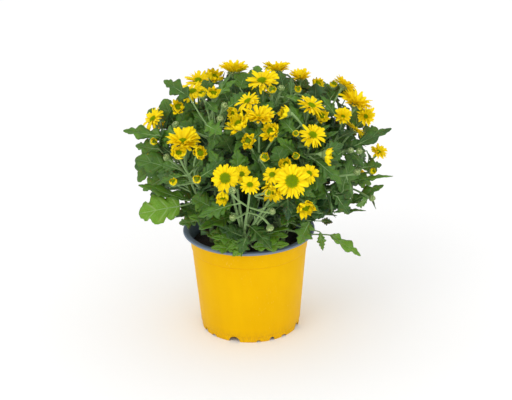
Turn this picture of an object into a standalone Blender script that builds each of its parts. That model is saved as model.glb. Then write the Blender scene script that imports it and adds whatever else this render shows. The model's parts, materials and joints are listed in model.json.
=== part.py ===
"""Pot chrysanthemum: a spray chrysanthemum with yellow daisy blooms in a yellow plastic pot.

Run with blender --background --python part.py. Metres, +Z up, origin on the ground under the
pot's centre, front of the plant towards -Y.
"""

import math
import random
from collections import namedtuple

import bmesh
import bpy
from mathutils import Matrix, Vector
from mathutils.bvhtree import BVHTree

MM = 0.001
GAP = 0.3 * MM
SEED = 41

# Pot
POT_HEIGHT = 103.2 * MM
LIP_RADIUS = 65.0 * MM
LIP_INNER_RADIUS = 60.0 * MM
LIP_DROP = 2.6 * MM
WALL = 1.1 * MM
SHOULDER_HEIGHT = 83.0 * MM
SHOULDER_STEP = 0.6 * MM
STEP_HEIGHT = 6.0 * MM
STEP_RADIUS = 49.6 * MM
FOOT_RADIUS = 48.7 * MM
TAPER = 0.0905
CENTRE_FOOT_RADIUS = 9.5 * MM
TURN_STEPS = 26

# Foot notches: angle from the front, half-width and height of each kind, repeated four times round
NOTCH_START = -19.5
NOTCHES = (
    (0.0, 5.6, 5.6),
    (28.5, 2.2, 2.0),
    (45.0, 2.8, 3.8),
    (61.5, 3.2, 2.3),
)
DRAIN_HOLES = 4
DRAIN_HOLE_RADIUS = 3.5 * MM
DRAIN_CIRCLE_RADIUS = 36.0 * MM

# Soil
SOIL_LEVEL = 90.0 * MM
SOIL_LUMP = 1.6 * MM
STEM_HOLE_DEPTH = 15.0 * MM

# Stems
MAIN_STEM_RADIUS = 2.6 * MM
MAIN_STEM_ABOVE_SOIL = 26.0 * MM
PLANT_RING_RADIUS = 37.0 * MM
SHOOT_RADIUS = 1.5 * MM
STALK_RADIUS = 0.95 * MM
STALK_LENGTH = 28.0 * MM
STEM_CLEARANCE = 0.5 * MM
PLANTS = (
    ("plant_front", -8.0),
    ("plant_right_front", 64.0),
    ("plant_right_back", 136.0),
    ("plant_left_back", 208.0),
    ("plant_left_front", 280.0),
)

# The dome that the flower heads stand on
DOME_CENTRE = Vector((8.0, 0.0, 140.0)) * MM
DOME_RADII = Vector((114.0, 112.0, 120.0)) * MM

# The photo's eye, worked out from the ellipses of the lip and the foot
VIEW_TARGET = Vector((7.5, 0.0, 131.7)) * MM
VIEW_DISTANCE = 1.6
VIEW_ELEVATION = math.radians(22.3)
VIEW_ROLL = math.radians(-1.04)
FOCAL_PIXELS = 1630.6
PHOTO_CENTRE = (256.0, 200.0)

# Leaves
BLADE_THICKNESS = 0.8 * MM
LEAF_CLEARANCE = 0.75 * MM
STALK_WIDTH = 1.4 * MM
ROOT_SINK = 0.5 * MM
LEAF_SPACING = 56.0 * MM
SHOOT_BARE = 0.42
LEAF_TURN = math.radians(137.5)
SMALL_LEAF = 38.0 * MM

# A head: photo pixel of its middle, diameter in mm, turn from the viewer towards +X, tilt up of its
# face and rise of its petals in degrees, and mm towards the viewer from the dome
Head = namedtuple("Head", "kind px py size turn tilt rise forward")

FRONT_HEADS = [
    Head("open", 292, 181, 34, 0, 25, 4, 12),
    Head("open", 309, 173, 20, 10, 50, 10, 2),
    Head("open", 272, 174, 20, -20, 55, 10, 2),
    Head("open", 250, 184, 20, 5, 60, 15, 6),
    Head("open", 225, 178, 28, -6, 24, 6, 4),
    Head("open", 242, 174, 18, 20, 30, 10, -8),
    Head("open", 192, 90, 28, -25, 70, 10, 4),
    Head("open", 198, 79, 28, 5, 74, 20, -6),
    Head("open", 234, 69, 32, 175, 76, 42, -4),
    Head("open", 262, 79, 33, -15, 72, 18, 4),
    Head("open", 277, 68, 28, 170, 76, 36, -8),
    Head("open", 300, 76, 23, 0, 84, 40, -6),
    Head("open", 345, 84, 24, 118, 50, 25, -4),
    Head("open", 357, 101, 34, 85, 68, 26, 0),
    Head("open", 366, 116, 20, 20, 42, 38, 2),
    Head("open", 312, 104, 28, 59, 66, 14, 2),
    Head("open", 247, 100, 25, -60, 60, 15, 0),
    Head("open", 259, 116, 31, 10, 84, 30, 2),
    Head("open", 313, 134, 27, 18, 56, 15, 0),
    Head("open", 152, 118, 25, -60, 50, 15, 0),
    Head("open", 183, 140, 34, 0, 74, 24, 4),
    Head("open", 379, 151, 18, 45, 58, 25, 0),
    Head("open", 343, 116, 18, 5, 58, 40, 0),
    Head("half_open", 240, 126, 18, -40, 52, 0, -4),
    Head("half_open", 272, 132, 15, -20, 40, 0, 0),
    Head("half_open", 248, 141, 14, 0, 30, 0, 0),
    Head("half_open", 287, 113, 14, -75, 25, 0, -2),
    Head("half_open", 321, 117, 14, 20, 40, 0, -4),
    Head("half_open", 325, 155, 14, 80, -5, 0, -2),
    Head("half_open", 179, 155, 14, -5, 50, 0, 20),
    Head("half_open", 199, 153, 14, 20, 30, 0, 4),
    Head("half_open", 178, 108, 14, 0, 40, 0, -10),
    Head("half_open", 213, 95, 14, 10, 60, 0, -2),
    Head("half_open", 317, 85, 13, 40, 56, 0, -6),
    Head("half_open", 305, 206, 15, 10, -12, 0, 0),
    Head("half_open", 223, 195, 14, -5, -22, 0, 0),
    Head("half_open", 235, 113, 13, -45, 10, 0, -8),
    Head("half_open", 213, 78, 15, 40, 60, 0, -12),
    Head("half_open", 285, 166, 14, 0, 60, 0, -4),
    Head("half_open", 272, 189, 15, -20, -15, 0, 0),
    Head("opening", 272, 91, 11, 0, 45, 0, 2),
    Head("opening", 333, 87, 11, 10, 70, 0, -6),
    Head("opening", 263, 158, 11, 25, 30, 0, 0),
    Head("opening", 296, 156, 9, 0, 26, 0, 0),
    Head("opening", 296, 134, 9, -10, 34, 0, -2),
    Head("opening", 196, 180, 11, 15, 30, 0, 2),
    Head("opening", 153, 142, 10, 20, 30, 0, 2),
    Head("opening", 203, 96, 11, -30, 60, 0, 0),
    Head("opening", 298, 91, 9, 0, 52, 0, -2),
    Head("opening", 371, 172, 9, 42, 30, 0, 0),
    Head("opening", 174, 184, 10, -20, 58, 0, 2),
    Head("opening", 267, 193, 9, 20, 20, 0, 6),
    Head("bud", 167, 158, 8, -45, 42, 0, 2),
    Head("bud", 224, 106, 8, 20, 34, 0, -2),
    Head("bud", 220, 119, 8, 0, 32, 0, -2),
    Head("bud", 281, 89, 8, 10, 60, 0, 0),
    Head("bud", 232, 191, 9, 40, 48, 0, 8),
    Head("bud", 233, 218, 8, -20, 50, 0, -14),
    Head("bud", 272, 212, 8, 20, 58, 0, -10),
    Head("bud", 270, 227, 9, 5, -35, 0, -16),
    Head("bud", 359, 152, 8, 10, 60, 0, -2),
    Head("bud", 351, 151, 7, -20, 55, 0, -4),
    Head("bud", 357, 173, 8, 0, 60, 0, -2),
    Head("bud", 371, 198, 8, 60, 5, 0, 0),
    Head("bud", 176, 125, 8, -30, 50, 0, 0),
]

# Rows of heads on the hidden back of the dome: elevation, count, first azimuth and step
BACK_ROWS = (
    (8.0, 5, 112.0, 34.0),
    (34.0, 5, 98.0, 38.0),
    (52.0, 2, 150.0, 33.0),
)
BACK_KINDS = ("open", "half_open", "open", "open", "half_open", "open", "open")
BACK_SIZES = {"open": (24.0, 31.0), "half_open": (14.0, 16.0)}

# A leaf that the photo shows plainly: pixels of its blade's base and tip, mm towards the viewer
# of each, blade width in mm, and the turn and tilt of its upper face
ShownLeaf = namedtuple("ShownLeaf", "base tip depth width turn tilt")

SHOWN_LEAVES = [
    ShownLeaf((189, 97), (164, 80), (-4, -6), 20, -30, 50),
    ShownLeaf((162, 137), (123, 129), (8, 0), 19, -20, 62),
    ShownLeaf((176, 128), (163, 99), (-20, -30), 25, -35, 30),
    ShownLeaf((172, 168), (135, 158), (28, 22), 26, -30, 55),
    ShownLeaf((186, 200), (139, 183), (34, 30), 17, -20, 70),
    ShownLeaf((180, 206), (138, 213), (36, 32), 32, -12, 42),
    ShownLeaf((197, 221), (179, 223), (56, 60), 16, -5, 50),
    ShownLeaf((347, 150), (391, 127), (8, 4), 17, 20, 58),
    ShownLeaf((352, 181), (393, 174), (18, 16), 12, 0, 84),
    ShownLeaf((350, 203), (383, 184), (22, 20), 16, 10, 60),
    ShownLeaf((335, 212), (366, 209), (30, 28), 9, 0, 84),
    ShownLeaf((321, 221), (333, 222), (34, 34), 10, 10, 50),
    ShownLeaf((330, 235), (362, 255), (30, 30), 15, 25, 50),
    ShownLeaf((320, 232), (323, 251), (36, 40), 10, 5, 20),
    ShownLeaf((309, 222), (299, 244), (56, 69), 20, 10, 28),
    ShownLeaf((253, 247), (289, 243), (62, 62), 17, 0, 52),
    ShownLeaf((246, 249), (226, 243), (60, 60), 16, 0, 45),
    ShownLeaf((255, 84), (258, 65), (0, -14), 15, 0, 20),
    ShownLeaf((324, 104), (322, 80), (-30, -50), 25, 0, 28),
    ShownLeaf((236, 178), (246, 156), (74, 66), 25, -10, 30),
    ShownLeaf((302, 202), (326, 172), (66, 60), 27, 30, 30),
    ShownLeaf((323, 213), (284, 212), (66, 78), 19, 5, 48),
    ShownLeaf((216, 222), (189, 216), (64, 66), 17, -10, 50),
    ShownLeaf((160, 150), (135, 145), (10, 0), 18, -35, 40),
    ShownLeaf((206, 168), (222, 150), (72, 60), 26, -10, 40),
    ShownLeaf((212, 207), (192, 197), (74, 70), 22, -15, 45),
    ShownLeaf((341, 193), (352, 160), (40, 30), 24, 45, 40),
    ShownLeaf((283, 166), (276, 146), (76, 70), 20, 10, 30),
    ShownLeaf((206, 125), (222, 133), (66, 74), 20, 0, 45),
]


def remove_everything():
    for obj in list(bpy.data.objects):
        bpy.data.objects.remove(obj)


def make_collection(name, hidden=False):
    group = bpy.data.collections.new(name)
    bpy.context.scene.collection.children.link(group)
    group.hide_render = hidden
    group.hide_viewport = False
    return group


def make_material(name, colour, roughness, metallic=0.0):
    material = bpy.data.materials.new(name)
    material.use_nodes = True
    shader = material.node_tree.nodes["Principled BSDF"]
    shader.inputs["Base Color"].default_value = (*colour, 1.0)
    shader.inputs["Roughness"].default_value = roughness
    shader.inputs["Metallic"].default_value = metallic
    material.diffuse_color = (*colour, 1.0)
    return material


def add_object(name, mesh, group, material=None):
    obj = bpy.data.objects.new(name, mesh)
    group.objects.link(obj)
    if material:
        mesh.materials.clear()
        mesh.materials.append(material)
    return obj


def mesh_from(name, points, faces):
    mesh = bpy.data.meshes.new(name)
    mesh.from_pydata(points, [], faces)
    mesh.update()
    return mesh


def applied_mesh(obj, name, merge=0.01 * MM):
    """The object's mesh with its modifiers applied, doubles merged and faces outward."""
    depsgraph = bpy.context.evaluated_depsgraph_get()
    mesh = bpy.data.meshes.new_from_object(obj.evaluated_get(depsgraph))
    mesh.name = name
    shape = bmesh.new()
    shape.from_mesh(mesh)
    bmesh.ops.remove_doubles(shape, verts=shape.verts, dist=merge)
    bmesh.ops.recalc_face_normals(shape, faces=shape.faces)
    shape.to_mesh(mesh)
    shape.free()
    return mesh


def turned(name, profile, group):
    """A closed solid turned round Z from a profile that starts and ends on the axis."""
    points = [(radius, 0.0, height) for radius, height in profile]
    mesh = bpy.data.meshes.new(name)
    mesh.from_pydata(points, [(i, i + 1) for i in range(len(points) - 1)], [])
    obj = add_object(name, mesh, group)
    screw = obj.modifiers.new("turn", "SCREW")
    screw.steps = TURN_STEPS
    screw.render_steps = TURN_STEPS
    screw.use_merge_vertices = True
    screw.merge_threshold = 0.00001
    obj.data = applied_mesh(obj, name)
    obj.modifiers.clear()
    return obj


def cut(obj, cutters):
    """Cut every object of a collection out of one object, then remove them."""
    boolean = obj.modifiers.new("cut", "BOOLEAN")
    boolean.operation = "DIFFERENCE"
    boolean.solver = "EXACT"
    boolean.operand_type = "COLLECTION"
    boolean.collection = cutters
    mesh = applied_mesh(obj, obj.name)
    obj.modifiers.clear()
    materials = list(obj.data.materials)
    obj.data = mesh
    mesh.materials.clear()
    for material in materials:
        mesh.materials.append(material)
    for cutter in list(cutters.objects):
        bpy.data.objects.remove(cutter)


def cylinder(name, group, radius, depth, segments, placed):
    shape = bmesh.new()
    bmesh.ops.create_cone(
        shape, cap_ends=True, segments=segments, radius1=radius, radius2=radius, depth=depth,
        matrix=placed)
    mesh = bpy.data.meshes.new(name)
    shape.to_mesh(mesh)
    shape.free()
    obj = add_object(name, mesh, group)
    obj.display_type = "WIRE"
    return obj


def wall_radius(height):
    """Outer radius of the pot's wall at a height, shoulder step not counted."""
    return STEP_RADIUS + (height - STEP_HEIGHT) * TAPER


def make_pot(group, cutters, material):
    floor = STEP_HEIGHT + 0.4 * MM
    under_lip = POT_HEIGHT - 1.3 * MM
    neck = POT_HEIGHT - 4.0 * MM
    above = SHOULDER_HEIGHT + 0.6 * MM
    below = SHOULDER_HEIGHT - 0.6 * MM
    profile = [
        (0.0, WALL),
        (CENTRE_FOOT_RADIUS - 1.6 * MM, WALL),
        (CENTRE_FOOT_RADIUS - 0.4 * MM, floor + WALL),
        (wall_radius(floor) - 2.6 * MM, floor + WALL),
        (wall_radius(floor + 3.0 * MM) - WALL, floor + 3.0 * MM),
        (wall_radius(neck) - WALL, neck),
        (LIP_INNER_RADIUS, POT_HEIGHT),
        (LIP_RADIUS - 1.5 * MM, POT_HEIGHT),
        (LIP_RADIUS, POT_HEIGHT - 1.0 * MM),
        (LIP_RADIUS - 0.4 * MM, POT_HEIGHT - LIP_DROP),
        (LIP_RADIUS - 1.6 * MM, under_lip),
        (wall_radius(neck) + SHOULDER_STEP, neck),
        (wall_radius(above) + SHOULDER_STEP, above),
        (wall_radius(below), below),
        (STEP_RADIUS, STEP_HEIGHT),
        (FOOT_RADIUS + 0.2 * MM, STEP_HEIGHT - 0.4 * MM),
        (FOOT_RADIUS, 0.0),
        (FOOT_RADIUS - WALL, 0.0),
        (FOOT_RADIUS - WALL, floor),
        (CENTRE_FOOT_RADIUS + 1.2 * MM, floor),
        (CENTRE_FOOT_RADIUS, 0.0),
        (0.0, 0.0),
    ]
    pot = turned("pot", profile, group)
    pot.data.materials.append(material)
    for quarter in range(4):
        for offset, half_width, height in NOTCHES:
            angle = math.radians(NOTCH_START + 90.0 * quarter + offset)
            placed = (
                Matrix.Rotation(angle, 4, "Z")
                @ Matrix.Translation((0.0, -FOOT_RADIUS, 0.0))
                @ Matrix.Diagonal((half_width * MM, 1.0, height * MM, 1.0))
                @ Matrix.Rotation(math.radians(90.0), 4, "X")
            )
            cylinder("notch", cutters, 1.0, 12.0 * MM, 8 if offset == 0.0 else 6, placed)
    for index in range(DRAIN_HOLES):
        angle = math.radians(360.0 * index / DRAIN_HOLES)
        place = Matrix.Rotation(angle, 4, "Z") @ Matrix.Translation(
            (0.0, DRAIN_CIRCLE_RADIUS, floor + WALL / 2))
        cylinder("drain", cutters, DRAIN_HOLE_RADIUS, 6.0 * MM, 6, place)
    cut(pot, cutters)
    return pot


def plant_base(angle):
    turn = math.radians(angle)
    return Vector((math.sin(turn), -math.cos(turn), 0.0)) * PLANT_RING_RADIUS


def make_soil(group, cutters, material):
    rng = random.Random(SEED)
    floor = STEP_HEIGHT + 0.4 * MM + WALL + GAP
    low = floor + 2.4 * MM
    side = SOIL_LEVEL - 2.5 * MM
    profile = [
        (0.0, SOIL_LEVEL + 1.0 * MM),
        (30.0 * MM, SOIL_LEVEL),
        (wall_radius(side) - WALL - GAP, side),
        (wall_radius(low) - WALL - GAP, low),
        (wall_radius(floor) - 3.4 * MM, floor),
        (CENTRE_FOOT_RADIUS - 0.5 * MM, floor),
        (CENTRE_FOOT_RADIUS - 2.1 * MM, WALL + GAP),
        (0.0, WALL + GAP),
    ]
    soil = turned("soil", profile, group)
    soil.data.materials.append(material)
    for vertex in soil.data.vertices:
        reach = math.hypot(vertex.co.x, vertex.co.y)
        if vertex.co.z > SOIL_LEVEL - 1.0 * MM and reach > 1.0 * MM:
            vertex.co.z += rng.uniform(-SOIL_LUMP, SOIL_LUMP)
    for name, angle in PLANTS:
        base = plant_base(angle)
        centre = Vector((base.x, base.y, SOIL_LEVEL - STEM_HOLE_DEPTH + 20.0 * MM))
        cylinder("hole", cutters, MAIN_STEM_RADIUS + 0.75 * MM, 40.0 * MM, 8,
                 Matrix.Translation(centre))
    cut(soil, cutters)
    return soil


def tree_of(shapes):
    points = []
    faces = []
    for some_points, some_faces in shapes:
        first = len(points)
        points += some_points
        faces += [tuple(index + first for index in face) for face in some_faces]
    return BVHTree.FromPolygons(points, faces)


def mesh_shape(mesh):
    return [vertex.co.copy() for vertex in mesh.vertices], [tuple(p.vertices) for p in mesh.polygons]


def facing(turn, tilt):
    """Unit vector turned from the viewer towards +X and tilted up, in degrees."""
    around = math.radians(turn)
    up = math.radians(tilt)
    return Vector((
        math.sin(around) * math.cos(up), -math.cos(around) * math.cos(up), math.sin(up)))


def view_axes():
    """The eye's place and its right, up and forward directions."""
    back = Vector((0.0, -math.cos(VIEW_ELEVATION), math.sin(VIEW_ELEVATION)))
    level = Vector((1.0, 0.0, 0.0))
    upright = level.cross(-back)
    right = level * math.cos(VIEW_ROLL) + upright * math.sin(VIEW_ROLL)
    up = upright * math.cos(VIEW_ROLL) - level * math.sin(VIEW_ROLL)
    return VIEW_TARGET + back * VIEW_DISTANCE, right, up, -back


def sight_line(px, py):
    """The eye and the unit direction of the ray through a pixel of the photo."""
    eye, right, up, forward = view_axes()
    ray = forward * FOCAL_PIXELS + right * (px - PHOTO_CENTRE[0]) + up * (PHOTO_CENTRE[1] - py)
    return eye, ray.normalized()


def on_dome(px, py, forward):
    """Where the ray through a pixel meets the dome, or passes it nearest, moved towards the eye."""
    eye, ray = sight_line(px, py)
    start = Vector(((eye - DOME_CENTRE)[i] / DOME_RADII[i] for i in range(3)))
    step = Vector((ray[i] / DOME_RADII[i] for i in range(3)))
    square = step.dot(step)
    half = start.dot(step)
    inside = half * half - square * (start.dot(start) - 1.0)
    reach = (-half - math.sqrt(max(inside, 0.0))) / square
    return eye + ray * (reach - forward * MM)


def at_depth(px, py, depth):
    """Where the ray through a pixel meets the upright plane this many mm towards the viewer."""
    eye, ray = sight_line(px, py)
    return eye + ray * ((-depth * MM - eye.y) / ray.y)


def face_matrix(place, normal, spin=0.0):
    """A frame at a place whose Z is the normal."""
    turn = normal.to_track_quat("Z", "Y").to_matrix().to_4x4()
    return Matrix.Translation(place) @ turn @ Matrix.Rotation(spin, 4, "Z")


def base_radius(kind, size):
    share = {"open": 0.12, "half_open": 0.20, "opening": 0.2, "bud": 0.2}[kind]
    return share * size * MM


def open_head(size, rng, slope):
    """Points and faces of an open head: a domed disc with keeled petals in two alternate layers."""
    radius = size * MM / 2
    petals = 12 if size > 30 else (11 if size > 21 else 9)
    disc = 0.37 * radius
    lift = 0.26 * radius
    rings = {name: [] for name in ("disc", "valley", "left", "tip", "right", "keel", "base")}
    points = [(0.0, 0.0, lift + 0.14 * radius), (0.0, 0.0, 0.0)]

    def add(ring, reach, angle, height):
        rings[ring].append(len(points))
        points.append((reach * math.cos(angle), reach * math.sin(angle), height))

    pitch = 2 * math.pi / petals
    layers = []
    for index in range(petals):
        layer = 6.0 if index % 2 else -6.0
        rise = math.radians(slope + layer + rng.uniform(-5.0, 5.0))
        spread = 0.37 + 0.63 * math.cos(math.radians(max(0.0, slope - 15.0)))
        layers.append((rise, radius * spread * (1.0 + rng.uniform(-0.09, 0.05))))
    for index in range(petals):
        angle = index * pitch
        rise, length = layers[index]
        before = layers[index - 1]
        reach = (length + before[1]) / 2

        def height(out, slope, curl=0.12):
            return lift + (out - disc) * math.tan(slope) - curl * (out - disc) ** 2 / radius

        swing = rng.uniform(-0.10, 0.10) * pitch
        add("disc", disc, angle, lift)
        add("base", base_radius("open", size), angle, 0.0)
        add("valley", 0.60 * reach, angle, height(0.60 * reach, (rise + before[0]) / 2))
        middle = angle + pitch / 2 + swing
        add("left", 0.87 * length, middle - 0.40 * pitch, height(0.87 * length, rise))
        add("tip", length, middle, height(length, rise))
        add("right", 0.87 * length, middle + 0.40 * pitch, height(0.87 * length, rise))
        add("keel", 0.64 * length, middle, height(0.64 * length, rise) - 0.085 * radius)
    faces = []
    for index in range(petals):
        after = (index + 1) % petals
        d0, d1 = rings["disc"][index], rings["disc"][after]
        b0, b1 = rings["base"][index], rings["base"][after]
        v0, v1 = rings["valley"][index], rings["valley"][after]
        left, tip, right = (rings[name][index] for name in ("left", "tip", "right"))
        keel = rings["keel"][index]
        faces += [(0, d0, d1), (d0, v0, d1), (v0, v1, d1)]
        faces += [(v0, left, v1), (left, right, v1), (left, tip, right)]
        faces += [(v0, keel, left), (left, keel, tip), (tip, keel, right), (right, keel, v1)]
        faces += [(b0, keel, v0), (b0, b1, keel), (b1, v1, keel)]
    faces.append(tuple(reversed(rings["base"])))
    points.pop(1)
    faces = [tuple(i - 1 if i > 1 else i for i in face) for face in faces]
    return points, faces


def half_open_head(size, rng):
    """Points and faces of a half-open head: a crown of short upright petals round the disc."""
    radius = size * MM / 2
    petals = 6
    disc = 0.62 * radius
    lift = 0.62 * radius
    pitch = 2 * math.pi / petals
    rings = {name: [] for name in ("disc", "valley", "tip", "keel", "base")}
    points = [(0.0, 0.0, lift + 0.10 * radius)]

    def add(ring, reach, angle, height):
        rings[ring].append(len(points))
        points.append((reach * math.cos(angle), reach * math.sin(angle), height))

    for index in range(petals):
        angle = index * pitch
        rise = rng.uniform(0.42, 0.66) * radius
        middle = angle + pitch / 2
        add("disc", disc, angle, lift)
        add("base", base_radius("half_open", size), angle, 0.0)
        add("valley", 0.86 * radius, angle, lift + 0.20 * radius)
        add("tip", radius, middle + rng.uniform(-0.06, 0.06), lift + rise)
        add("keel", 0.90 * radius, middle, lift - 0.05 * radius)
    faces = []
    for index in range(petals):
        after = (index + 1) % petals
        d0, d1 = rings["disc"][index], rings["disc"][after]
        b0, b1 = rings["base"][index], rings["base"][after]
        v0, v1 = rings["valley"][index], rings["valley"][after]
        tip = rings["tip"][index]
        keel = rings["keel"][index]
        faces += [(0, d0, d1), (d0, v0, d1), (v0, v1, d1), (v0, tip, v1)]
        faces += [(v0, keel, tip), (tip, keel, v1)]
        faces += [(b0, keel, v0), (b0, b1, keel), (b1, v1, keel)]
    faces.append(tuple(reversed(rings["base"])))
    return points, faces


def back_heads():
    """Heads on the hidden back, in rows by a rule: kind, place, size and face."""
    rng = random.Random(SEED + 1)
    placed = []
    count = 0
    for elevation, number, first, step in BACK_ROWS:
        for index in range(number):
            azimuth = first + index * step + rng.uniform(-4.0, 4.0)
            height = elevation + rng.uniform(-4.0, 4.0)
            kind = BACK_KINDS[count % len(BACK_KINDS)]
            out = facing(azimuth, height)
            place = DOME_CENTRE + Vector((out[i] * DOME_RADII[i] for i in range(3)))
            size = rng.uniform(*BACK_SIZES[kind])
            normal = facing(azimuth + rng.uniform(-15, 15), min(80.0, height + 18.0))
            placed.append((kind, place, size, normal, rng.uniform(8.0, 26.0), out))
            count += 1
    return placed


HeadPlace = namedtuple("HeadPlace", "kind place size normal points faces guard")


def place_heads():
    """Every head in its place, each stepped back along its sight line until it is clear."""
    rng = random.Random(SEED + 2)
    wanted = []
    eye = view_axes()[0]
    for head in FRONT_HEADS:
        place = on_dome(head.px, head.py, head.forward)
        normal = facing(head.turn, head.tilt)
        towards = (eye - place).normalized()
        wanted.append((head.kind, place, head.size, normal, head.rise, towards))
    wanted += back_heads()
    placed = []
    trees = []
    for kind, place, size, normal, rise, towards in wanted:
        shape = open_head(size, rng, rise) if kind == "open" else half_open_head(size, rng)
        spin = rng.uniform(0.0, 6.28)
        centre = 0.2 * size * MM
        for step in range(30):
            frame = face_matrix(place - normal * centre, normal, spin)
            points = [frame @ Vector(point) for point in shape[0]]
            guard = [place + (point - place) * 1.07 for point in points]
            tree = BVHTree.FromPolygons(guard, shape[1])
            near = (other for spot, other in trees if (spot - place).length < 45.0 * MM)
            if not any(tree.overlap(other) for other in near):
                break
            place = place - towards * 1.5 * MM
        trees.append((place.copy(), tree))
        base = place - normal * centre
        placed.append(HeadPlace(kind, base, size, normal, points, shape[1], tree))
    return placed


Path = namedtuple("Path", "points radii")


def bezier(start, lead, follow, end, count):
    points = []
    for index in range(count + 1):
        t = index / count
        s = 1.0 - t
        points.append(
            start * s ** 3 + lead * (3 * s * s * t) + follow * (3 * s * t * t) + end * t ** 3)
    return points


def cup_end(points, radii, head, thin):
    """Lengthen a stalk with the flared green cup under its head, or with the bud on its end."""
    flare = base_radius(head.kind, head.size)
    reach = head.size * MM
    if head.kind in ("open", "half_open"):
        length = 0.16 * reach if head.kind == "open" else 0.30 * reach
        last = head.place - head.normal * GAP
        points += [last - head.normal * length, last]
        radii += [thin, flare * 1.3]
    else:
        swell = 0.46 * reach if head.kind == "bud" else 0.40 * reach
        tip = 0.40 if head.kind == "bud" else 0.95
        base = head.place
        points += [base, base + head.normal * 0.34 * reach, base + head.normal * 0.80 * reach]
        radii += [thin, swell, swell * tip]


def curve_tube(name, path, sides, group):
    """A closed round stem mesh along a path, from a curve with a bevel and filled caps."""
    curve = bpy.data.curves.new(name, "CURVE")
    curve.dimensions = "3D"
    curve.bevel_depth = 1.0
    curve.bevel_resolution = sides
    curve.use_fill_caps = True
    spline = curve.splines.new("POLY")
    spline.points.add(len(path.points) - 1)
    for point, place, radius in zip(spline.points, path.points, path.radii):
        point.co = (*place, 1.0)
        point.radius = radius
    holder = add_object(name, curve, group)
    mesh = applied_mesh(holder, name)
    bpy.data.objects.remove(holder)
    return mesh


def crown_of(angle):
    """Foot and top of a plant's main stem."""
    base = plant_base(angle)
    foot = Vector((base.x, base.y, SOIL_LEVEL - STEM_HOLE_DEPTH + 1.0 * MM))
    top = Vector((base.x, base.y, SOIL_LEVEL + MAIN_STEM_ABOVE_SOIL))
    return foot, top


def shoot_path(foot, top, share, head, bow):
    """A shoot from a plant's main stem to the back of a head, bowed out of the way."""
    start = foot.lerp(top, share)
    span = (head.place - start).length
    out = Vector((head.place.x - start.x, head.place.y - start.y, 0.0))
    lead = start + (out.normalized() * 0.55 + Vector((0.0, 0.0, 0.8))).normalized() * span * 0.42
    end = head.place - head.normal * 0.22 * head.size * MM
    follow = end - head.normal * max(11.0 * MM, 0.24 * span)
    points = bezier(start, lead + bow * 0.5, follow + bow, end, 4)[:-1]
    radii = [SHOOT_RADIUS * (1.0 - 0.08 * index) for index in range(len(points))]
    cup_end(points, radii, head, SHOOT_RADIUS * 0.72)
    return Path(points, radii)


def stalk_starts(shoots, head):
    """Places on a plant's shoots for a side stalk to a head, best first, with their directions."""
    starts = []
    for owner, shoot in shoots:
        body = shoot.points[1:-2]
        for low, high in zip(body, body[1:]):
            for share in (0.0, 0.5):
                start = low.lerp(high, share)
                along = (high - low).normalized()
                away = head.place - start
                score = abs(away.length - STALK_LENGTH)
                if away.normalized().dot(along) < 0.35:
                    score += 20.0 * MM
                starts.append((score, start, along))
    starts.sort(key=lambda item: item[0])
    return starts


def stalk_path(start, along, head, bow):
    """A side stalk from a place on a shoot to the back of a head."""
    away = head.place - start
    span = away.length
    lead = start + (along * 0.5 + away.normalized() * 0.6).normalized() * span * 0.4
    flare = 0.30 if head.kind == "half_open" else 0.0
    end = head.place - head.normal * flare * head.size * MM
    follow = end - head.normal * max(5.0 * MM, 0.25 * span)
    points = bezier(start, lead + bow * 0.5, follow + bow, end, 2)[:-1]
    radii = [STALK_RADIUS] * len(points)
    cup_end(points, radii, head, STALK_RADIUS * 0.95)
    return Path(points, radii)


def bows(head):
    """Ways to bow a stem out of the way: none first, then sideways, inward and down."""
    side = head.normal.cross(Vector((0.0, 0.0, 1.0)))
    side = side.normalized() if side.length > 0.1 else Vector((1.0, 0.0, 0.0))
    inward = (DOME_CENTRE - head.place).normalized()
    yield Vector()
    for reach in (5.0 * MM, 10.0 * MM, 15.0 * MM, 21.0 * MM, 28.0 * MM):
        for way in (side, -side, inward, (side + inward) * 0.7, (inward - side) * 0.7, -inward):
            yield way * reach


def sector_of(place):
    """The plant whose side of the pot a place is on."""
    scores = [plant_base(angle).dot(Vector((place.x, place.y, 0.0))) for name, angle in PLANTS]
    return scores.index(max(scores))


class Thicket:
    """The stems grown so far, and what each new one must keep clear of."""

    def __init__(self, heads, solids, group):
        self.heads = heads
        self.solids = [tree_of([mesh_shape(obj.data)]) for obj in solids]
        self.group = group
        self.stems = []

    def clear(self, path, own, plant):
        wide = Path(path.points, [radius + STEM_CLEARANCE for radius in path.radii])
        tube = tree_of([mesh_shape(curve_tube("guard", wide, 0, self.group))])
        for head in self.heads:
            loose = head.kind in ("opening", "bud") and sector_of(head.place) == plant
            if head is not own and not loose and tube.overlap(head.guard):
                return False
        if any(tube.overlap(tree) for tree in self.solids):
            return False
        return not any(owner != plant and tube.overlap(tree) for owner, tree in self.stems)

    def add(self, path, plant):
        tube = curve_tube("stem", path, 0, self.group)
        self.stems.append((plant, tree_of([mesh_shape(tube)])))

    def grow(self, paths, own, plant):
        """Keep and return the first of some paths to a head that is clear, or None."""
        for path in paths:
            if self.clear(path, own, plant):
                self.add(path, plant)
                return path
        return None


Plant = namedtuple("Plant", "name foot top shoots stalks")


def shoot_paths(plant, head, shares):
    for share in shares:
        for bow in bows(head):
            yield shoot_path(plant.foot, plant.top, share, head, bow)


def stalk_paths(plant, head):
    for score, start, along in stalk_starts(plant.shoots, head)[:10]:
        if score < STALK_LENGTH:
            for bow in bows(head):
                yield stalk_path(start, along, head, bow)


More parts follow.
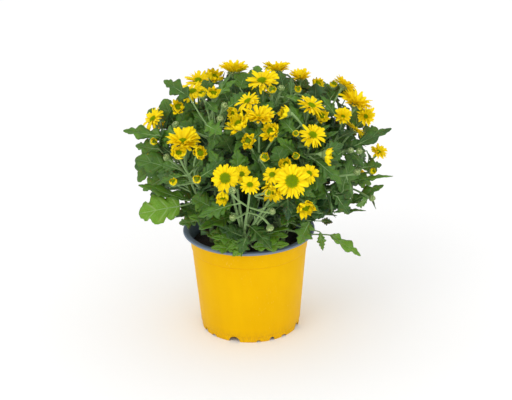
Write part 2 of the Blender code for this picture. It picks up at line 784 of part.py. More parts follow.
def grow_stems(heads, thicket):
    """Shoots and stalks of the five plants, each ending at a head or a bud."""
    plants = []
    for index, (name, angle) in enumerate(PLANTS):
        foot, top = crown_of(angle)
        plants.append(Plant(name, foot, top, [], []))
        thicket.add(Path([foot, top], [MAIN_STEM_RADIUS] * 2), index)
    for index, plant in enumerate(plants):
        ends = [head for head in heads if head.kind == "open" and sector_of(head.place) == index]
        for rank, head in enumerate(ends):
            share = 0.58 + 0.40 * (rank + 0.5) / len(ends)
            path = thicket.grow(shoot_paths(plant, head, (share, 0.97, 0.60)), head, index)
            if path is None:
                raise RuntimeError("no clear way to the bloom at %s" % head.place)
            plant.shoots.append((head, path))
    for index, plant in enumerate(plants):
        rest = [head for head in heads if head.kind != "open" and sector_of(head.place) == index]
        for head in rest:
            path = thicket.grow(stalk_paths(plant, head), head, index)
            if path:
                plant.stalks.append((head, path))
                continue
            path = thicket.grow(shoot_paths(plant, head, (0.75,)), head, index)
            if path is None:
                raise RuntimeError("no clear way to the small head at %s" % head.place)
            plant.shoots.append((head, path))
    return plants


def stem_meshes(plant, group):
    """The closed tubes of a plant: its main stem, its shoots and its stalks."""
    main_stem = Path([plant.foot, plant.top], [MAIN_STEM_RADIUS] * 2)
    meshes = [curve_tube("main", main_stem, 1, group)]
    meshes += [curve_tube("shoot", path, 0, group) for head, path in plant.shoots]
    meshes += [curve_tube("stalk", path, 0, group) for head, path in plant.stalks]
    return meshes


# A leaf blade in units of its length and half its width: left outline from base to tip, and midrib
BLADE_LEFT = ((0.72, 0.22), (0.44, 0.36), (1.0, 0.60), (0.46, 0.70))
BLADE_MIDRIB = (0.34, 0.70)
SMALL_LEFT = ((0.95, 0.44), (0.50, 0.58))
SMALL_MIDRIB = (0.50,)

# A leaf: its frame stands at the blade's base with Y along the midrib and Z out of its upper side,
# and root is where its stalk starts, in that frame
Leaf = namedtuple("Leaf", "frame root length width arch fold small")


def leaf_sheet(leaf, margin=0.0):
    """A lobed leaf as a sheet: its points, the length of its outline ring and its triangles."""
    half = leaf.width / 2 + margin
    length = leaf.length + margin
    left = SMALL_LEFT if leaf.small else BLADE_LEFT
    rib = SMALL_MIDRIB if leaf.small else BLADE_MIDRIB
    side = Vector((0.0, 0.0, 1.0)).cross(leaf.root).normalized() * (STALK_WIDTH / 2 + margin)

    def bent(across, along):
        share = along / length
        return Vector((across, along, leaf.fold * abs(across) - leaf.arch * length * share ** 2))

    ring = [leaf.root - side, bent(-side.length, 0.0)]
    ring += [bent(-half * x, length * y) for x, y in left]
    ring += [bent(0.0, length)]
    ring += [bent(half * x, length * y) for x, y in reversed(left)]
    ring += [bent(side.length, 0.0), leaf.root + side]
    count = len(ring)
    points = ring + [bent(0.0, length * y) for y in rib]
    m1 = count
    if leaf.small:
        blade = [(1, 2, m1), (2, 3, m1), (3, 4, m1), (7, m1, 6), (6, m1, 5), (5, m1, 4)]
    else:
        m2 = count + 1
        blade = [(1, 2, m1), (2, 3, m1), (3, m2, m1), (3, 4, m2), (4, 5, m2), (5, 6, m2)]
        blade += [(11, m1, 10), (10, m1, 9), (9, m1, m2), (9, m2, 8), (8, m2, 7), (7, m2, 6)]
    last = count - 1
    stalk = [(0, 1, last - 1), (0, last - 1, last), (1, m1, last - 1)]
    return points, count, stalk + blade


def thicken(points, count, triangles, up, thickness):
    """A sheet made solid along one direction, cut into the same triangles on both faces."""
    offset = up * (thickness / 2)
    number = len(points)
    solid = [point + offset for point in points] + [point - offset for point in points]
    faces = [(a, c, b) for a, b, c in triangles]
    faces += [(a + number, b + number, c + number) for a, b, c in triangles]
    for index in range(count):
        after = (index + 1) % count
        faces.append((index, after, after + number, index + number))
    return solid, faces


def leaf_frame(root, direction, up):
    """A frame at a leaf's root whose Y runs along the leaf and whose Z is its upper side."""
    along = direction.normalized()
    across = along.cross(up).normalized()
    above = across.cross(along).normalized()
    frame = Matrix((across, along, above)).transposed().to_4x4()
    return Matrix.Translation(root) @ frame


def leaf_solid(leaf, margin=0.0):
    """A leaf's closed points and faces in the world, larger all round by a margin."""
    points, count, triangles = leaf_sheet(leaf, margin)
    thickness = BLADE_THICKNESS + 2 * margin
    solid, faces = thicken(points, count, triangles, Vector((0.0, 0.0, 1.0)), thickness)
    return [leaf.frame @ point for point in solid], faces


def leaf_guards(leaf):
    """Trees of the leaf made larger by its clearance: all of it, and its blade alone."""
    solid, faces = leaf_solid(leaf, LEAF_CLEARANCE)
    number = len(solid) // 2
    last = 8 if leaf.small else 12
    root = {0, last, number, number + last}
    whole = BVHTree.FromPolygons(solid, faces)
    blade = BVHTree.FromPolygons(solid, [face for face in faces if not root & set(face)])
    return whole, blade


class Bed:
    """What leaves must keep clear of: the pot, the soil, the heads, the stems and other leaves."""

    def __init__(self, solids, heads, stems):
        self.fixed = [tree_of([mesh_shape(obj.data)]) for obj in solids]
        self.heads = tree_of([(head.points, head.faces) for head in heads
                              if head.kind in ("open", "half_open")])
        self.stems = [tree_of([mesh_shape(mesh) for mesh in meshes]) for meshes in stems]
        self.leaves = []

    def clear(self, leaf, plant, strict):
        whole, blade = leaf_guards(leaf)
        if any(whole.overlap(tree) for tree in self.fixed) or whole.overlap(self.heads):
            return False
        for index, tree in enumerate(self.stems):
            if (whole if index != plant else blade).overlap(tree):
                if index != plant or strict:
                    return False
        middle = leaf.frame @ Vector((0.0, leaf.length / 2, 0.0))
        for owner, spot, tree in self.leaves:
            if (spot - middle).length > 70.0 * MM:
                continue
            if (owner != plant and whole.overlap(tree)) or (strict and blade.overlap(tree)):
                return False
        return True

    def add(self, leaf, plant):
        middle = leaf.frame @ Vector((0.0, leaf.length / 2, 0.0))
        solid, faces = leaf_solid(leaf)
        self.leaves.append((plant, middle, BVHTree.FromPolygons(solid, faces)))


def inside_dome(place, share):
    offset = place - DOME_CENTRE
    return sum((offset[i] / DOME_RADII[i]) ** 2 for i in range(3)) < share * share


def shown_leaf(shown, plants):
    """A leaf where the photo shows it, on the nearest shoot, and the number of its plant."""
    base = at_depth(*shown.base, shown.depth[0])
    tip = at_depth(*shown.tip, shown.depth[1])
    best = None
    for index, plant in enumerate(plants):
        for head, path in plant.shoots:
            body = path.points[:-3]
            for low, high in zip(body, body[1:]):
                for share in (0.0, 0.33, 0.66):
                    point = low.lerp(high, share)
                    away = base - point
                    if point.z > base.z + 6.0 * MM:
                        continue
                    if best is None or away.length < best[0]:
                        best = (away.length, index, point)
    length, index, start = best
    direction = tip - base
    normal = facing(shown.turn, shown.tilt)
    arch = 0.06
    frame = leaf_frame(base, direction, normal)
    leaf = Leaf(frame, frame.inverted() @ start, direction.length, shown.width * MM, arch, 0.18,
                shown.width < 14)
    return leaf, index


LEAF_TRIES = (
    (0.0, 0.0, 1.0), (24.0, 0.0, 1.0), (-24.0, 0.0, 1.0), (0.0, 22.0, 1.0), (0.0, -22.0, 1.0),
    (45.0, 12.0, 0.9), (-45.0, 12.0, 0.9), (20.0, 35.0, 0.85), (-20.0, 35.0, 0.85),
    (70.0, 0.0, 0.85), (-70.0, 0.0, 0.85), (0.0, 10.0, 0.7), (40.0, 30.0, 0.7),
    (-40.0, 30.0, 0.7), (100.0, 15.0, 0.7), (-100.0, 15.0, 0.7),
)


def walk(points, first, spacing):
    """Places, directions and shares of the way at equal steps along a line of points."""
    total = sum((high - low).length for low, high in zip(points, points[1:]))
    done = 0.0
    wanted = first * total
    for low, high in zip(points, points[1:]):
        step = high - low
        while wanted < done + step.length:
            yield low + step * ((wanted - done) / step.length), step.normalized(), wanted / total
            wanted += spacing
        done += step.length


def place_leaves(plants, bed):
    """The leaves that the photo shows, then leaves along every shoot, in a list for each plant."""
    rng = random.Random(SEED + 3)
    kept = [[] for plant in plants]
    for shown in SHOWN_LEAVES:
        leaf, index = shown_leaf(shown, plants)
        if bed.clear(leaf, index, False):
            kept[index].append(leaf)
            bed.add(leaf, index)
    for index, plant in enumerate(plants):
        turn = rng.uniform(0.0, 6.28)
        lines = [(path.points[:-2], SHOOT_BARE, LEAF_SPACING) for head, path in plant.shoots]
        lines.insert(0, ([plant.foot.lerp(plant.top, 0.5), plant.top], 0.1, 8.0 * MM))
        for line, first, spacing in lines:
            for place, along, share in walk(line, first, spacing):
                turn += LEAF_TURN
                length = (49.0 - 23.0 * share) * MM * rng.uniform(0.88, 1.12)
                slant = math.radians(30.0 + 14.0 * share + rng.uniform(-8.0, 8.0))
                leaf = try_leaf(place, along, turn, length, slant, index, bed, rng)
                if leaf:
                    kept[index].append(leaf)
                    bed.add(leaf, index)
    return kept


def try_leaf(place, along, turn, length, slant, plant, bed, rng):
    """The first of a leaf's positions and sizes that keeps clear of everything, or none."""
    side = along.orthogonal().normalized()
    ratio = rng.uniform(0.58, 0.74)
    arch = rng.uniform(0.10, 0.30)
    fold = rng.uniform(0.10, 0.26)
    small = length < SMALL_LEAF
    for swing, pitch, scale in LEAF_TRIES:
        around = Matrix.Rotation(turn + math.radians(swing), 3, along)
        out = around @ side
        rise = slant + math.radians(pitch)
        direction = out * math.cos(rise) + along * math.sin(rise)
        size = length * scale
        stalk = 0.24 * size
        frame = leaf_frame(place + direction * stalk, direction, along)
        root = Vector((0.0, -stalk - ROOT_SINK, 0.0))
        leaf = Leaf(frame, root, size, size * ratio, arch, fold, small)
        tip = leaf.frame @ Vector((0.0, size, -arch * size))
        if not inside_dome(tip, 1.04) or tip.z < SOIL_LEVEL + 4.0 * MM:
            continue
        if bed.clear(leaf, plant, True):
            return leaf
    return None


def fuse(name, meshes, group, cutters, material):
    """One solid from many closed meshes, without the scraps and hollows that the union leaves."""
    body = add_object(name, meshes[0], group)
    for number, mesh in enumerate(meshes[1:]):
        add_object(name + "_piece_" + str(number), mesh, cutters)
    boolean = body.modifiers.new("union", "BOOLEAN")
    boolean.operation = "UNION"
    boolean.solver = "MANIFOLD"
    boolean.operand_type = "COLLECTION"
    boolean.collection = cutters
    body.data = applied_mesh(body, name, 0.0001 * MM)
    body.modifiers.clear()
    for piece in list(cutters.objects):
        bpy.data.objects.remove(piece)
    keep_largest(body.data)
    body.data.materials.clear()
    body.data.materials.append(material)
    return body


def keep_largest(mesh):
    """Remove every loose part of a mesh but the largest, closed hollows among them."""
    shape = bmesh.new()
    shape.from_mesh(mesh)
    left = set(shape.verts)
    islands = []
    while left:
        seed = left.pop()
        island = {seed}
        edge_of = [seed]
        while edge_of:
            vertex = edge_of.pop()
            for edge in vertex.link_edges:
                other = edge.other_vert(vertex)
                if other not in island:
                    island.add(other)
                    edge_of.append(other)
        left -= island
        islands.append(island)
    islands.sort(key=len)
    for island in islands[:-1]:
        bmesh.ops.delete(shape, geom=list(island), context="VERTS")
    shape.to_mesh(mesh)
    shape.free()


def finish(obj, angle):
    mesh = obj.data
    for polygon in mesh.polygons:
        polygon.use_smooth = True
    mesh.set_sharp_from_angle(angle=math.radians(angle))


def main():
    remove_everything()
    group = make_collection("pot_chrysanthemum")
    cutters = make_collection("cutters", hidden=True)
    yellow_plastic = make_material("pot_plastic", (0.93, 0.52, 0.0), 0.42)
    dark_soil = make_material("soil", (0.022, 0.015, 0.012), 0.95)
    leaf_green = make_material("leaf_green", (0.055, 0.16, 0.04), 0.55)
    petal_yellow = make_material("petal_yellow", (0.95, 0.66, 0.01), 0.6)

    pot = make_pot(group, cutters, yellow_plastic)
    soil = make_soil(group, cutters, dark_soil)
    heads = place_heads()
    plants = grow_stems(heads, Thicket(heads, (pot, soil), group))
    stems = [stem_meshes(plant, group) for plant in plants]
    leaves = place_leaves(plants, Bed((pot, soil), heads, stems))
    for index, plant in enumerate(plants):
        blades = [mesh_from("leaf", *leaf_solid(leaf)) for leaf in leaves[index]]
        green = fuse(plant.name, stems[index] + blades, group, cutters, leaf_green)
        finish(green, 40.0)
    number = {"open": 0, "half_open": 0}
    for head in heads:
        if head.kind not in number:
            continue
        number[head.kind] += 1
        name = ("bloom_" if head.kind == "open" else "half_open_") + "%02d" % number[head.kind]
        flower = add_object(name, mesh_from(name, head.points, head.faces), group, petal_yellow)
        finish(flower, 35.0)
    finish(pot, 40.0)
    finish(soil, 60.0)


main()
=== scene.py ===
"""Looks of the pot chrysanthemum: petals, florets, lobed leaves, stems, soil and the pot's finish.

Run with blender --background --python scene.py, or from Blender's text editor. Metres, +Z up.
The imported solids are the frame. The rules that place heads, stems and leaves are those of the
solids, so each finer piece stands where its solid does.
"""

import json
import math
import random
from collections import namedtuple
from functools import lru_cache, partial

import bmesh
import bpy
from bpy.props import FloatProperty, FloatVectorProperty, IntProperty, PointerProperty
from mathutils import Matrix, Vector
from mathutils.bvhtree import BVHTree

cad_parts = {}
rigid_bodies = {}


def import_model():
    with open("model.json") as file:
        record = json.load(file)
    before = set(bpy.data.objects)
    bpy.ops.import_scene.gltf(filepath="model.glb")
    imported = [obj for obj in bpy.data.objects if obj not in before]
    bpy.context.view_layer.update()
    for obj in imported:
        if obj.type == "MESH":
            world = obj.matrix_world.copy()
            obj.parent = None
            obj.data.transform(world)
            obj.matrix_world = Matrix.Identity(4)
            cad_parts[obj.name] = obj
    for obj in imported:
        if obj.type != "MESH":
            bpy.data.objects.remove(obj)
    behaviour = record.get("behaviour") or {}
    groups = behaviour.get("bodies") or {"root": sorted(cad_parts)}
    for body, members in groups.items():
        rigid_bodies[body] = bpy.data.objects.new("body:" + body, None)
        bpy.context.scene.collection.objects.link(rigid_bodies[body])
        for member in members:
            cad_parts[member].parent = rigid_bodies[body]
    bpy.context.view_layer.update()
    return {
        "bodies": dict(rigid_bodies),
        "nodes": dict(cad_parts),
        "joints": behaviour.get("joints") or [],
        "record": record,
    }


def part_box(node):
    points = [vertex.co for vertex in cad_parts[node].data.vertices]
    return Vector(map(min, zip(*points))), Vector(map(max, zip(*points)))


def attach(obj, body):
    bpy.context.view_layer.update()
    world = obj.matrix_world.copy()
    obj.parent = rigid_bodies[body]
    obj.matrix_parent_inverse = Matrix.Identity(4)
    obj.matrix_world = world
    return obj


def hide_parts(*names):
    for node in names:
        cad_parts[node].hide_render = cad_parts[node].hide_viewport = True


bl_info = {
    "name": "Pot chrysanthemum",
    "version": (1, 0, 0),
    "blender": (4, 5, 0),
    "location": "3D View > Sidebar > Chrysanthemum",
    "description": "Finer pieces, finishes and a studio for the pot chrysanthemum",
    "category": "Object",
}

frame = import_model()

MM = 0.001
GAP = 0.3 * MM
SEED = 41
FULL_TURN = 6.28

# Pot
POT_HEIGHT = 103.2 * MM
LIP_RADIUS = 65.0 * MM
LIP_INNER_RADIUS = 60.0 * MM
LIP_DROP = 2.6 * MM
WALL = 1.1 * MM
SHOULDER_HEIGHT = 83.0 * MM
SHOULDER_STEP = 0.6 * MM
STEP_HEIGHT = 6.0 * MM
STEP_RADIUS = 49.6 * MM
FOOT_RADIUS = 48.7 * MM
TAPER = 0.0905
CENTRE_FOOT_RADIUS = 9.5 * MM

# Foot notches: angle from the front, half-width and height of each kind, repeated four times round
NOTCH_START = -19.5
NOTCHES = (
    (0.0, 5.6, 5.6),
    (28.5, 2.2, 2.0),
    (45.0, 2.8, 3.8),
    (61.5, 3.2, 2.3),
)
DRAIN_HOLES = 4
DRAIN_HOLE_RADIUS = 3.5 * MM
DRAIN_CIRCLE_RADIUS = 36.0 * MM

# Soil
SOIL_LEVEL = 90.0 * MM
STEM_HOLE_DEPTH = 15.0 * MM

# Stems
MAIN_STEM_RADIUS = 2.6 * MM
MAIN_STEM_ABOVE_SOIL = 26.0 * MM
PLANT_RING_RADIUS = 37.0 * MM
SHOOT_RADIUS = 1.5 * MM
STALK_RADIUS = 0.95 * MM
STALK_LENGTH = 28.0 * MM
STEM_CLEARANCE = 0.5 * MM
PLANTS = (
    ("plant_front", -8.0),
    ("plant_right_front", 64.0),
    ("plant_right_back", 136.0),
    ("plant_left_back", 208.0),
    ("plant_left_front", 280.0),
)

# The dome that the flower heads stand on
DOME_CENTRE = Vector((8.0, 0.0, 140.0)) * MM
DOME_RADII = Vector((114.0, 112.0, 120.0)) * MM

# The photo's eye, worked out from the ellipses of the lip and the foot
VIEW_TARGET = Vector((7.5, 0.0, 131.7)) * MM
VIEW_DISTANCE = 1.6
VIEW_ELEVATION = math.radians(22.3)
VIEW_ROLL = math.radians(-1.04)
FOCAL_PIXELS = 1630.6
PHOTO_CENTRE = (256.0, 200.0)

# Leaves
BLADE_THICKNESS = 0.8 * MM
LEAF_CLEARANCE = 0.75 * MM
LEAF_REACH = 70.0 * MM
STALK_WIDTH = 1.4 * MM
ROOT_SINK = 0.5 * MM
LEAF_SPACING = 56.0 * MM
SHOOT_BARE = 0.42
LEAF_TURN = math.radians(137.5)
SMALL_LEAF = 38.0 * MM
STALK_SHARE = 0.24
SHOWN_ARCH = 0.06
SHOWN_FOLD = 0.18

# A head: photo pixel of its middle, diameter in mm, turn from the viewer towards +X, tilt up of its
# face and rise of its petals in degrees, and mm towards the viewer from the dome
Head = namedtuple("Head", "kind px py size turn tilt rise forward")

HEAD_ROWS = {
    "open": (
        (292, 181, 34, 0, 25, 4, 12), (309, 173, 20, 10, 50, 10, 2), (272, 174, 20, -20, 55, 10, 2),
        (250, 184, 20, 5, 60, 15, 6), (225, 178, 28, -6, 24, 6, 4), (242, 174, 18, 20, 30, 10, -8),
        (192, 90, 28, -25, 70, 10, 4), (198, 79, 28, 5, 74, 20, -6), (234, 69, 32, 175, 76, 42, -4),
        (262, 79, 33, -15, 72, 18, 4), (277, 68, 28, 170, 76, 36, -8), (300, 76, 23, 0, 84, 40, -6),
        (345, 84, 24, 118, 50, 25, -4), (357, 101, 34, 85, 68, 26, 0), (366, 116, 20, 20, 42, 38, 2),
        (312, 104, 28, 59, 66, 14, 2), (247, 100, 25, -60, 60, 15, 0), (259, 116, 31, 10, 84, 30, 2),
        (313, 134, 27, 18, 56, 15, 0), (152, 118, 25, -60, 50, 15, 0), (183, 140, 34, 0, 74, 24, 4),
        (379, 151, 18, 45, 58, 25, 0), (343, 116, 18, 5, 58, 40, 0)),
    "half_open": (
        (240, 126, 18, -40, 52, 0, -4), (272, 132, 15, -20, 40, 0, 0), (248, 141, 14, 0, 30, 0, 0),
        (287, 113, 14, -75, 25, 0, -2), (321, 117, 14, 20, 40, 0, -4), (325, 155, 14, 80, -5, 0, -2),
        (179, 155, 14, -5, 50, 0, 20), (199, 153, 14, 20, 30, 0, 4), (178, 108, 14, 0, 40, 0, -10),
        (213, 95, 14, 10, 60, 0, -2), (317, 85, 13, 40, 56, 0, -6), (305, 206, 15, 10, -12, 0, 0),
        (223, 195, 14, -5, -22, 0, 0), (235, 113, 13, -45, 10, 0, -8), (213, 78, 15, 40, 60, 0, -12),
        (285, 166, 14, 0, 60, 0, -4), (272, 189, 15, -20, -15, 0, 0)),
    "opening": (
        (272, 91, 11, 0, 45, 0, 2), (333, 87, 11, 10, 70, 0, -6), (263, 158, 11, 25, 30, 0, 0),
        (296, 156, 9, 0, 26, 0, 0), (296, 134, 9, -10, 34, 0, -2), (196, 180, 11, 15, 30, 0, 2),
        (153, 142, 10, 20, 30, 0, 2), (203, 96, 11, -30, 60, 0, 0), (298, 91, 9, 0, 52, 0, -2),
        (371, 172, 9, 42, 30, 0, 0), (174, 184, 10, -20, 58, 0, 2), (267, 193, 9, 20, 20, 0, 6)),
    "bud": (
        (167, 158, 8, -45, 42, 0, 2), (224, 106, 8, 20, 34, 0, -2), (220, 119, 8, 0, 32, 0, -2),
        (281, 89, 8, 10, 60, 0, 0), (232, 191, 9, 40, 48, 0, 8), (233, 218, 8, -20, 50, 0, -14),
        (272, 212, 8, 20, 58, 0, -10), (270, 227, 9, 5, -35, 0, -16), (359, 152, 8, 10, 60, 0, -2),
        (351, 151, 7, -20, 55, 0, -4), (357, 173, 8, 0, 60, 0, -2), (371, 198, 8, 60, 5, 0, 0),
        (176, 125, 8, -30, 50, 0, 0)),
}
FRONT_HEADS = [Head(kind, *row) for kind, rows in HEAD_ROWS.items() for row in rows]

# Rows of heads on the hidden back of the dome: elevation, count, first azimuth and step
BACK_ROWS = (
    (8.0, 5, 112.0, 34.0),
    (34.0, 5, 98.0, 38.0),
    (52.0, 2, 150.0, 33.0),
)
BACK_KINDS = ("open", "half_open", "open", "open", "half_open", "open", "open")
BACK_SIZES = {"open": (24.0, 31.0), "half_open": (14.0, 16.0)}

# A leaf that the photo shows plainly: pixels of its blade's base and tip, mm towards the viewer
# of each, blade width in mm, and the turn and tilt of its upper face
ShownLeaf = namedtuple("ShownLeaf", "base tip depth width turn tilt")

SHOWN_LEAVES = [ShownLeaf(*row) for row in (
    ((189, 97), (164, 80), (-4, -6), 20, -30, 50), ((162, 137), (123, 129), (8, 0), 19, -20, 62),
    ((176, 128), (163, 99), (-20, -30), 25, -35, 30), ((172, 168), (135, 158), (28, 22), 26, -30, 55),
    ((186, 200), (139, 183), (34, 30), 17, -20, 70), ((180, 206), (138, 213), (36, 32), 32, -12, 42),
    ((197, 221), (179, 223), (56, 60), 16, -5, 50), ((347, 150), (391, 127), (8, 4), 17, 20, 58),
    ((352, 181), (393, 174), (18, 16), 12, 0, 84), ((350, 203), (383, 184), (22, 20), 16, 10, 60),
    ((335, 212), (366, 209), (30, 28), 9, 0, 84), ((321, 221), (333, 222), (34, 34), 10, 10, 50),
    ((330, 235), (362, 255), (30, 30), 15, 25, 50), ((320, 232), (323, 251), (36, 40), 10, 5, 20),
    ((309, 222), (299, 244), (56, 69), 20, 10, 28), ((253, 247), (289, 243), (62, 62), 17, 0, 52),
    ((246, 249), (226, 243), (60, 60), 16, 0, 45), ((255, 84), (258, 65), (0, -14), 15, 0, 20),
    ((324, 104), (322, 80), (-30, -50), 25, 0, 28), ((236, 178), (246, 156), (74, 66), 25, -10, 30),
    ((302, 202), (326, 172), (66, 60), 27, 30, 30), ((323, 213), (284, 212), (66, 78), 19, 5, 48),
    ((216, 222), (189, 216), (64, 66), 17, -10, 50), ((160, 150), (135, 145), (10, 0), 18, -35, 40),
    ((206, 168), (222, 150), (72, 60), 26, -10, 40), ((212, 207), (192, 197), (74, 70), 22, -15, 45),
    ((341, 193), (352, 160), (40, 30), 24, 45, 40), ((283, 166), (276, 146), (76, 70), 20, 10, 30),
    ((206, 125), (222, 133), (66, 74), 20, 0, 45))]


def tree_of(shapes):
    points = []
    faces = []
    for some_points, some_faces in shapes:
        first = len(points)
        points += some_points
        faces += [tuple(index + first for index in face) for face in some_faces]
    return BVHTree.FromPolygons(points, faces)


def mesh_shape(mesh):
    return [vertex.co.copy() for vertex in mesh.vertices], [tuple(p.vertices) for p in mesh.polygons]


def facing(turn, tilt):
    """Unit vector turned from the viewer towards +X and tilted up, in degrees."""
    around = math.radians(turn)
    up = math.radians(tilt)
    return Vector((
        math.sin(around) * math.cos(up), -math.cos(around) * math.cos(up), math.sin(up)))


@lru_cache
def view_axes():
    """The eye's place and its right, up and forward directions."""
    back = Vector((0.0, -math.cos(VIEW_ELEVATION), math.sin(VIEW_ELEVATION)))
    level = Vector((1.0, 0.0, 0.0))
    upright = level.cross(-back)
    right = level * math.cos(VIEW_ROLL) + upright * math.sin(VIEW_ROLL)
    up = upright * math.cos(VIEW_ROLL) - level * math.sin(VIEW_ROLL)
    return VIEW_TARGET + back * VIEW_DISTANCE, right, up, -back


def in_picture(point):
    """The photo's pixel of a point, its depth from the eye and the pixels to a metre there."""
    eye, right, up, forward = view_axes()
    away = point - eye
    depth = away.dot(forward)
    scale = FOCAL_PIXELS / depth
    return (PHOTO_CENTRE[0] + away.dot(right) * scale, PHOTO_CENTRE[1] - away.dot(up) * scale,
            depth, scale)


def sight_line(px, py):
    """The eye and the unit direction of the ray through a pixel of the photo."""
    eye, right, up, forward = view_axes()
    ray = forward * FOCAL_PIXELS + right * (px - PHOTO_CENTRE[0]) + up * (PHOTO_CENTRE[1] - py)
    return eye, ray.normalized()


def on_dome(px, py, forward):
    """Where the ray through a pixel meets the dome, or passes it nearest, moved towards the eye."""
    eye, ray = sight_line(px, py)
    start = Vector(((eye - DOME_CENTRE)[i] / DOME_RADII[i] for i in range(3)))
    step = Vector((ray[i] / DOME_RADII[i] for i in range(3)))
    square = step.dot(step)
    half = start.dot(step)
    inside = half * half - square * (start.dot(start) - 1.0)
    reach = (-half - math.sqrt(max(inside, 0.0))) / square
    return eye + ray * (reach - forward * MM)


def at_depth(px, py, depth):
    """Where the ray through a pixel meets the upright plane this many mm towards the viewer."""
    eye, ray = sight_line(px, py)
    return eye + ray * ((-depth * MM - eye.y) / ray.y)


def face_matrix(place, normal, spin=0.0):
    """A frame at a place whose Z is the normal."""
    turn = normal.to_track_quat("Z", "Y").to_matrix().to_4x4()
    return Matrix.Translation(place) @ turn @ Matrix.Rotation(spin, 4, "Z")


def base_radius(kind, size):
    share = {"open": 0.12, "half_open": 0.20, "opening": 0.2, "bud": 0.2}[kind]
    return share * size * MM


class HeadForm:
    """Points of a head's solid in named rings round its axis, and the faces between them."""

    def __init__(self, top):
        self.points = [(0.0, 0.0, top)]
        self.rings = {}

    def add(self, ring, reach, angle, height):
        self.rings.setdefault(ring, []).append(len(self.points))
        self.points.append((reach * math.cos(angle), reach * math.sin(angle), height))

    def faces(self, outline, top):
        """Disc, petals and base; top has the faces over a petal, as places along its outline."""
        rings = self.rings
        count = len(rings["disc"])
        faces = []
        for index in range(count):
            after = (index + 1) % count
            d0, d1, b0, b1, v0, v1 = (
                rings[name][spot] for name in ("disc", "base", "valley") for spot in (index, after))
            keel = rings["keel"][index]
            edge = [v0] + [rings[name][index] for name in outline] + [v1]
            faces += [(0, d0, d1), (d0, v0, d1), (v0, v1, d1)]
            faces += [tuple(edge[corner] for corner in face) for face in top]
            faces += [(low, keel, high) for low, high in zip(edge, edge[1:])]
            faces += [(b0, keel, v0), (b0, b1, keel), (b1, v1, keel)]
        faces.append(tuple(reversed(rings["base"])))
        return faces


def open_head(size, rng, slope):
    """Points and faces of an open head: a domed disc with keeled petals in two alternate layers."""
    radius = size * MM / 2
    petals = 12 if size > 30 else (11 if size > 21 else 9)
    pitch = 2 * math.pi / petals
    disc = 0.37 * radius
    lift = 0.26 * radius
    form = HeadForm(lift + 0.14 * radius)
    spread = 0.37 + 0.63 * math.cos(math.radians(max(0.0, slope - 15.0)))
    layers = []
    for index in range(petals):
        rise = math.radians(slope + (6.0 if index % 2 else -6.0) + rng.uniform(-5.0, 5.0))
        layers.append((rise, radius * spread * (1.0 + rng.uniform(-0.09, 0.05))))

    def height(out, rise):
        return lift + (out - disc) * math.tan(rise) - 0.12 * (out - disc) ** 2 / radius

    rays = []
    for index, (rise, length) in enumerate(layers):
        angle = index * pitch
        rise_before, length_before = layers[index - 1]
        reach = (length + length_before) / 2
        middle = angle + pitch / 2 + rng.uniform(-0.10, 0.10) * pitch
        rays.append(Ray(middle, rise, length))
        form.add("disc", disc, angle, lift)
        form.add("base", base_radius("open", size), angle, 0.0)
        form.add("valley", 0.60 * reach, angle, height(0.60 * reach, (rise + rise_before) / 2))
        form.add("left", 0.87 * length, middle - 0.40 * pitch, height(0.87 * length, rise))
        form.add("tip", length, middle, height(length, rise))
        form.add("right", 0.87 * length, middle + 0.40 * pitch, height(0.87 * length, rise))
        form.add("keel", 0.64 * length, middle, height(0.64 * length, rise) - 0.085 * radius)
    faces = form.faces(("left", "tip", "right"), ((0, 1, 4), (1, 3, 4), (1, 2, 3)))
    return form.points, faces, rays


def half_open_head(size, rng):
    """Points and faces of a half-open head: a crown of short upright petals round the disc."""
    radius = size * MM / 2
    petals = 6
    pitch = 2 * math.pi / petals
    lift = 0.62 * radius
    form = HeadForm(lift + 0.10 * radius)
    for index in range(petals):
        angle = index * pitch
        rise = rng.uniform(0.42, 0.66) * radius
        middle = angle + pitch / 2
        form.add("disc", 0.62 * radius, angle, lift)
        form.add("base", base_radius("half_open", size), angle, 0.0)
        form.add("valley", 0.86 * radius, angle, lift + 0.20 * radius)
        form.add("tip", radius, middle + rng.uniform(-0.06, 0.06), lift + rise)
        form.add("keel", 0.90 * radius, middle, lift - 0.05 * radius)
    return form.points, form.faces(("tip",), ((0, 1, 2),)), []


def back_heads():
    """Heads on the hidden back, in rows by a rule: kind, place, size and face."""
    rng = random.Random(SEED + 1)
    placed = []
    count = 0
    for elevation, number, first, step in BACK_ROWS:
        for index in range(number):
            azimuth = first + index * step + rng.uniform(-4.0, 4.0)
            height = elevation + rng.uniform(-4.0, 4.0)
            kind = BACK_KINDS[count % len(BACK_KINDS)]
            out = facing(azimuth, height)
            place = DOME_CENTRE + Vector((out[i] * DOME_RADII[i] for i in range(3)))
            size = rng.uniform(*BACK_SIZES[kind])
            normal = facing(azimuth + rng.uniform(-15, 15), min(80.0, height + 18.0))
            placed.append((kind, place, size, normal, rng.uniform(8.0, 26.0), out))
            count += 1
    return placed


# How much larger than itself a head keeps clear, how far off it looks for other heads, and how
# many steps of how many mm it may go back from them
HEAD_MARGIN = 1.07
HEAD_REACH = 45.0 * MM
HEAD_STEPS = 30
HEAD_STEP = 1.5

Ray = namedtuple("Ray", "turn rise length")
HeadPlace = namedtuple("HeadPlace", "kind place size normal points faces guard frame rays slope")


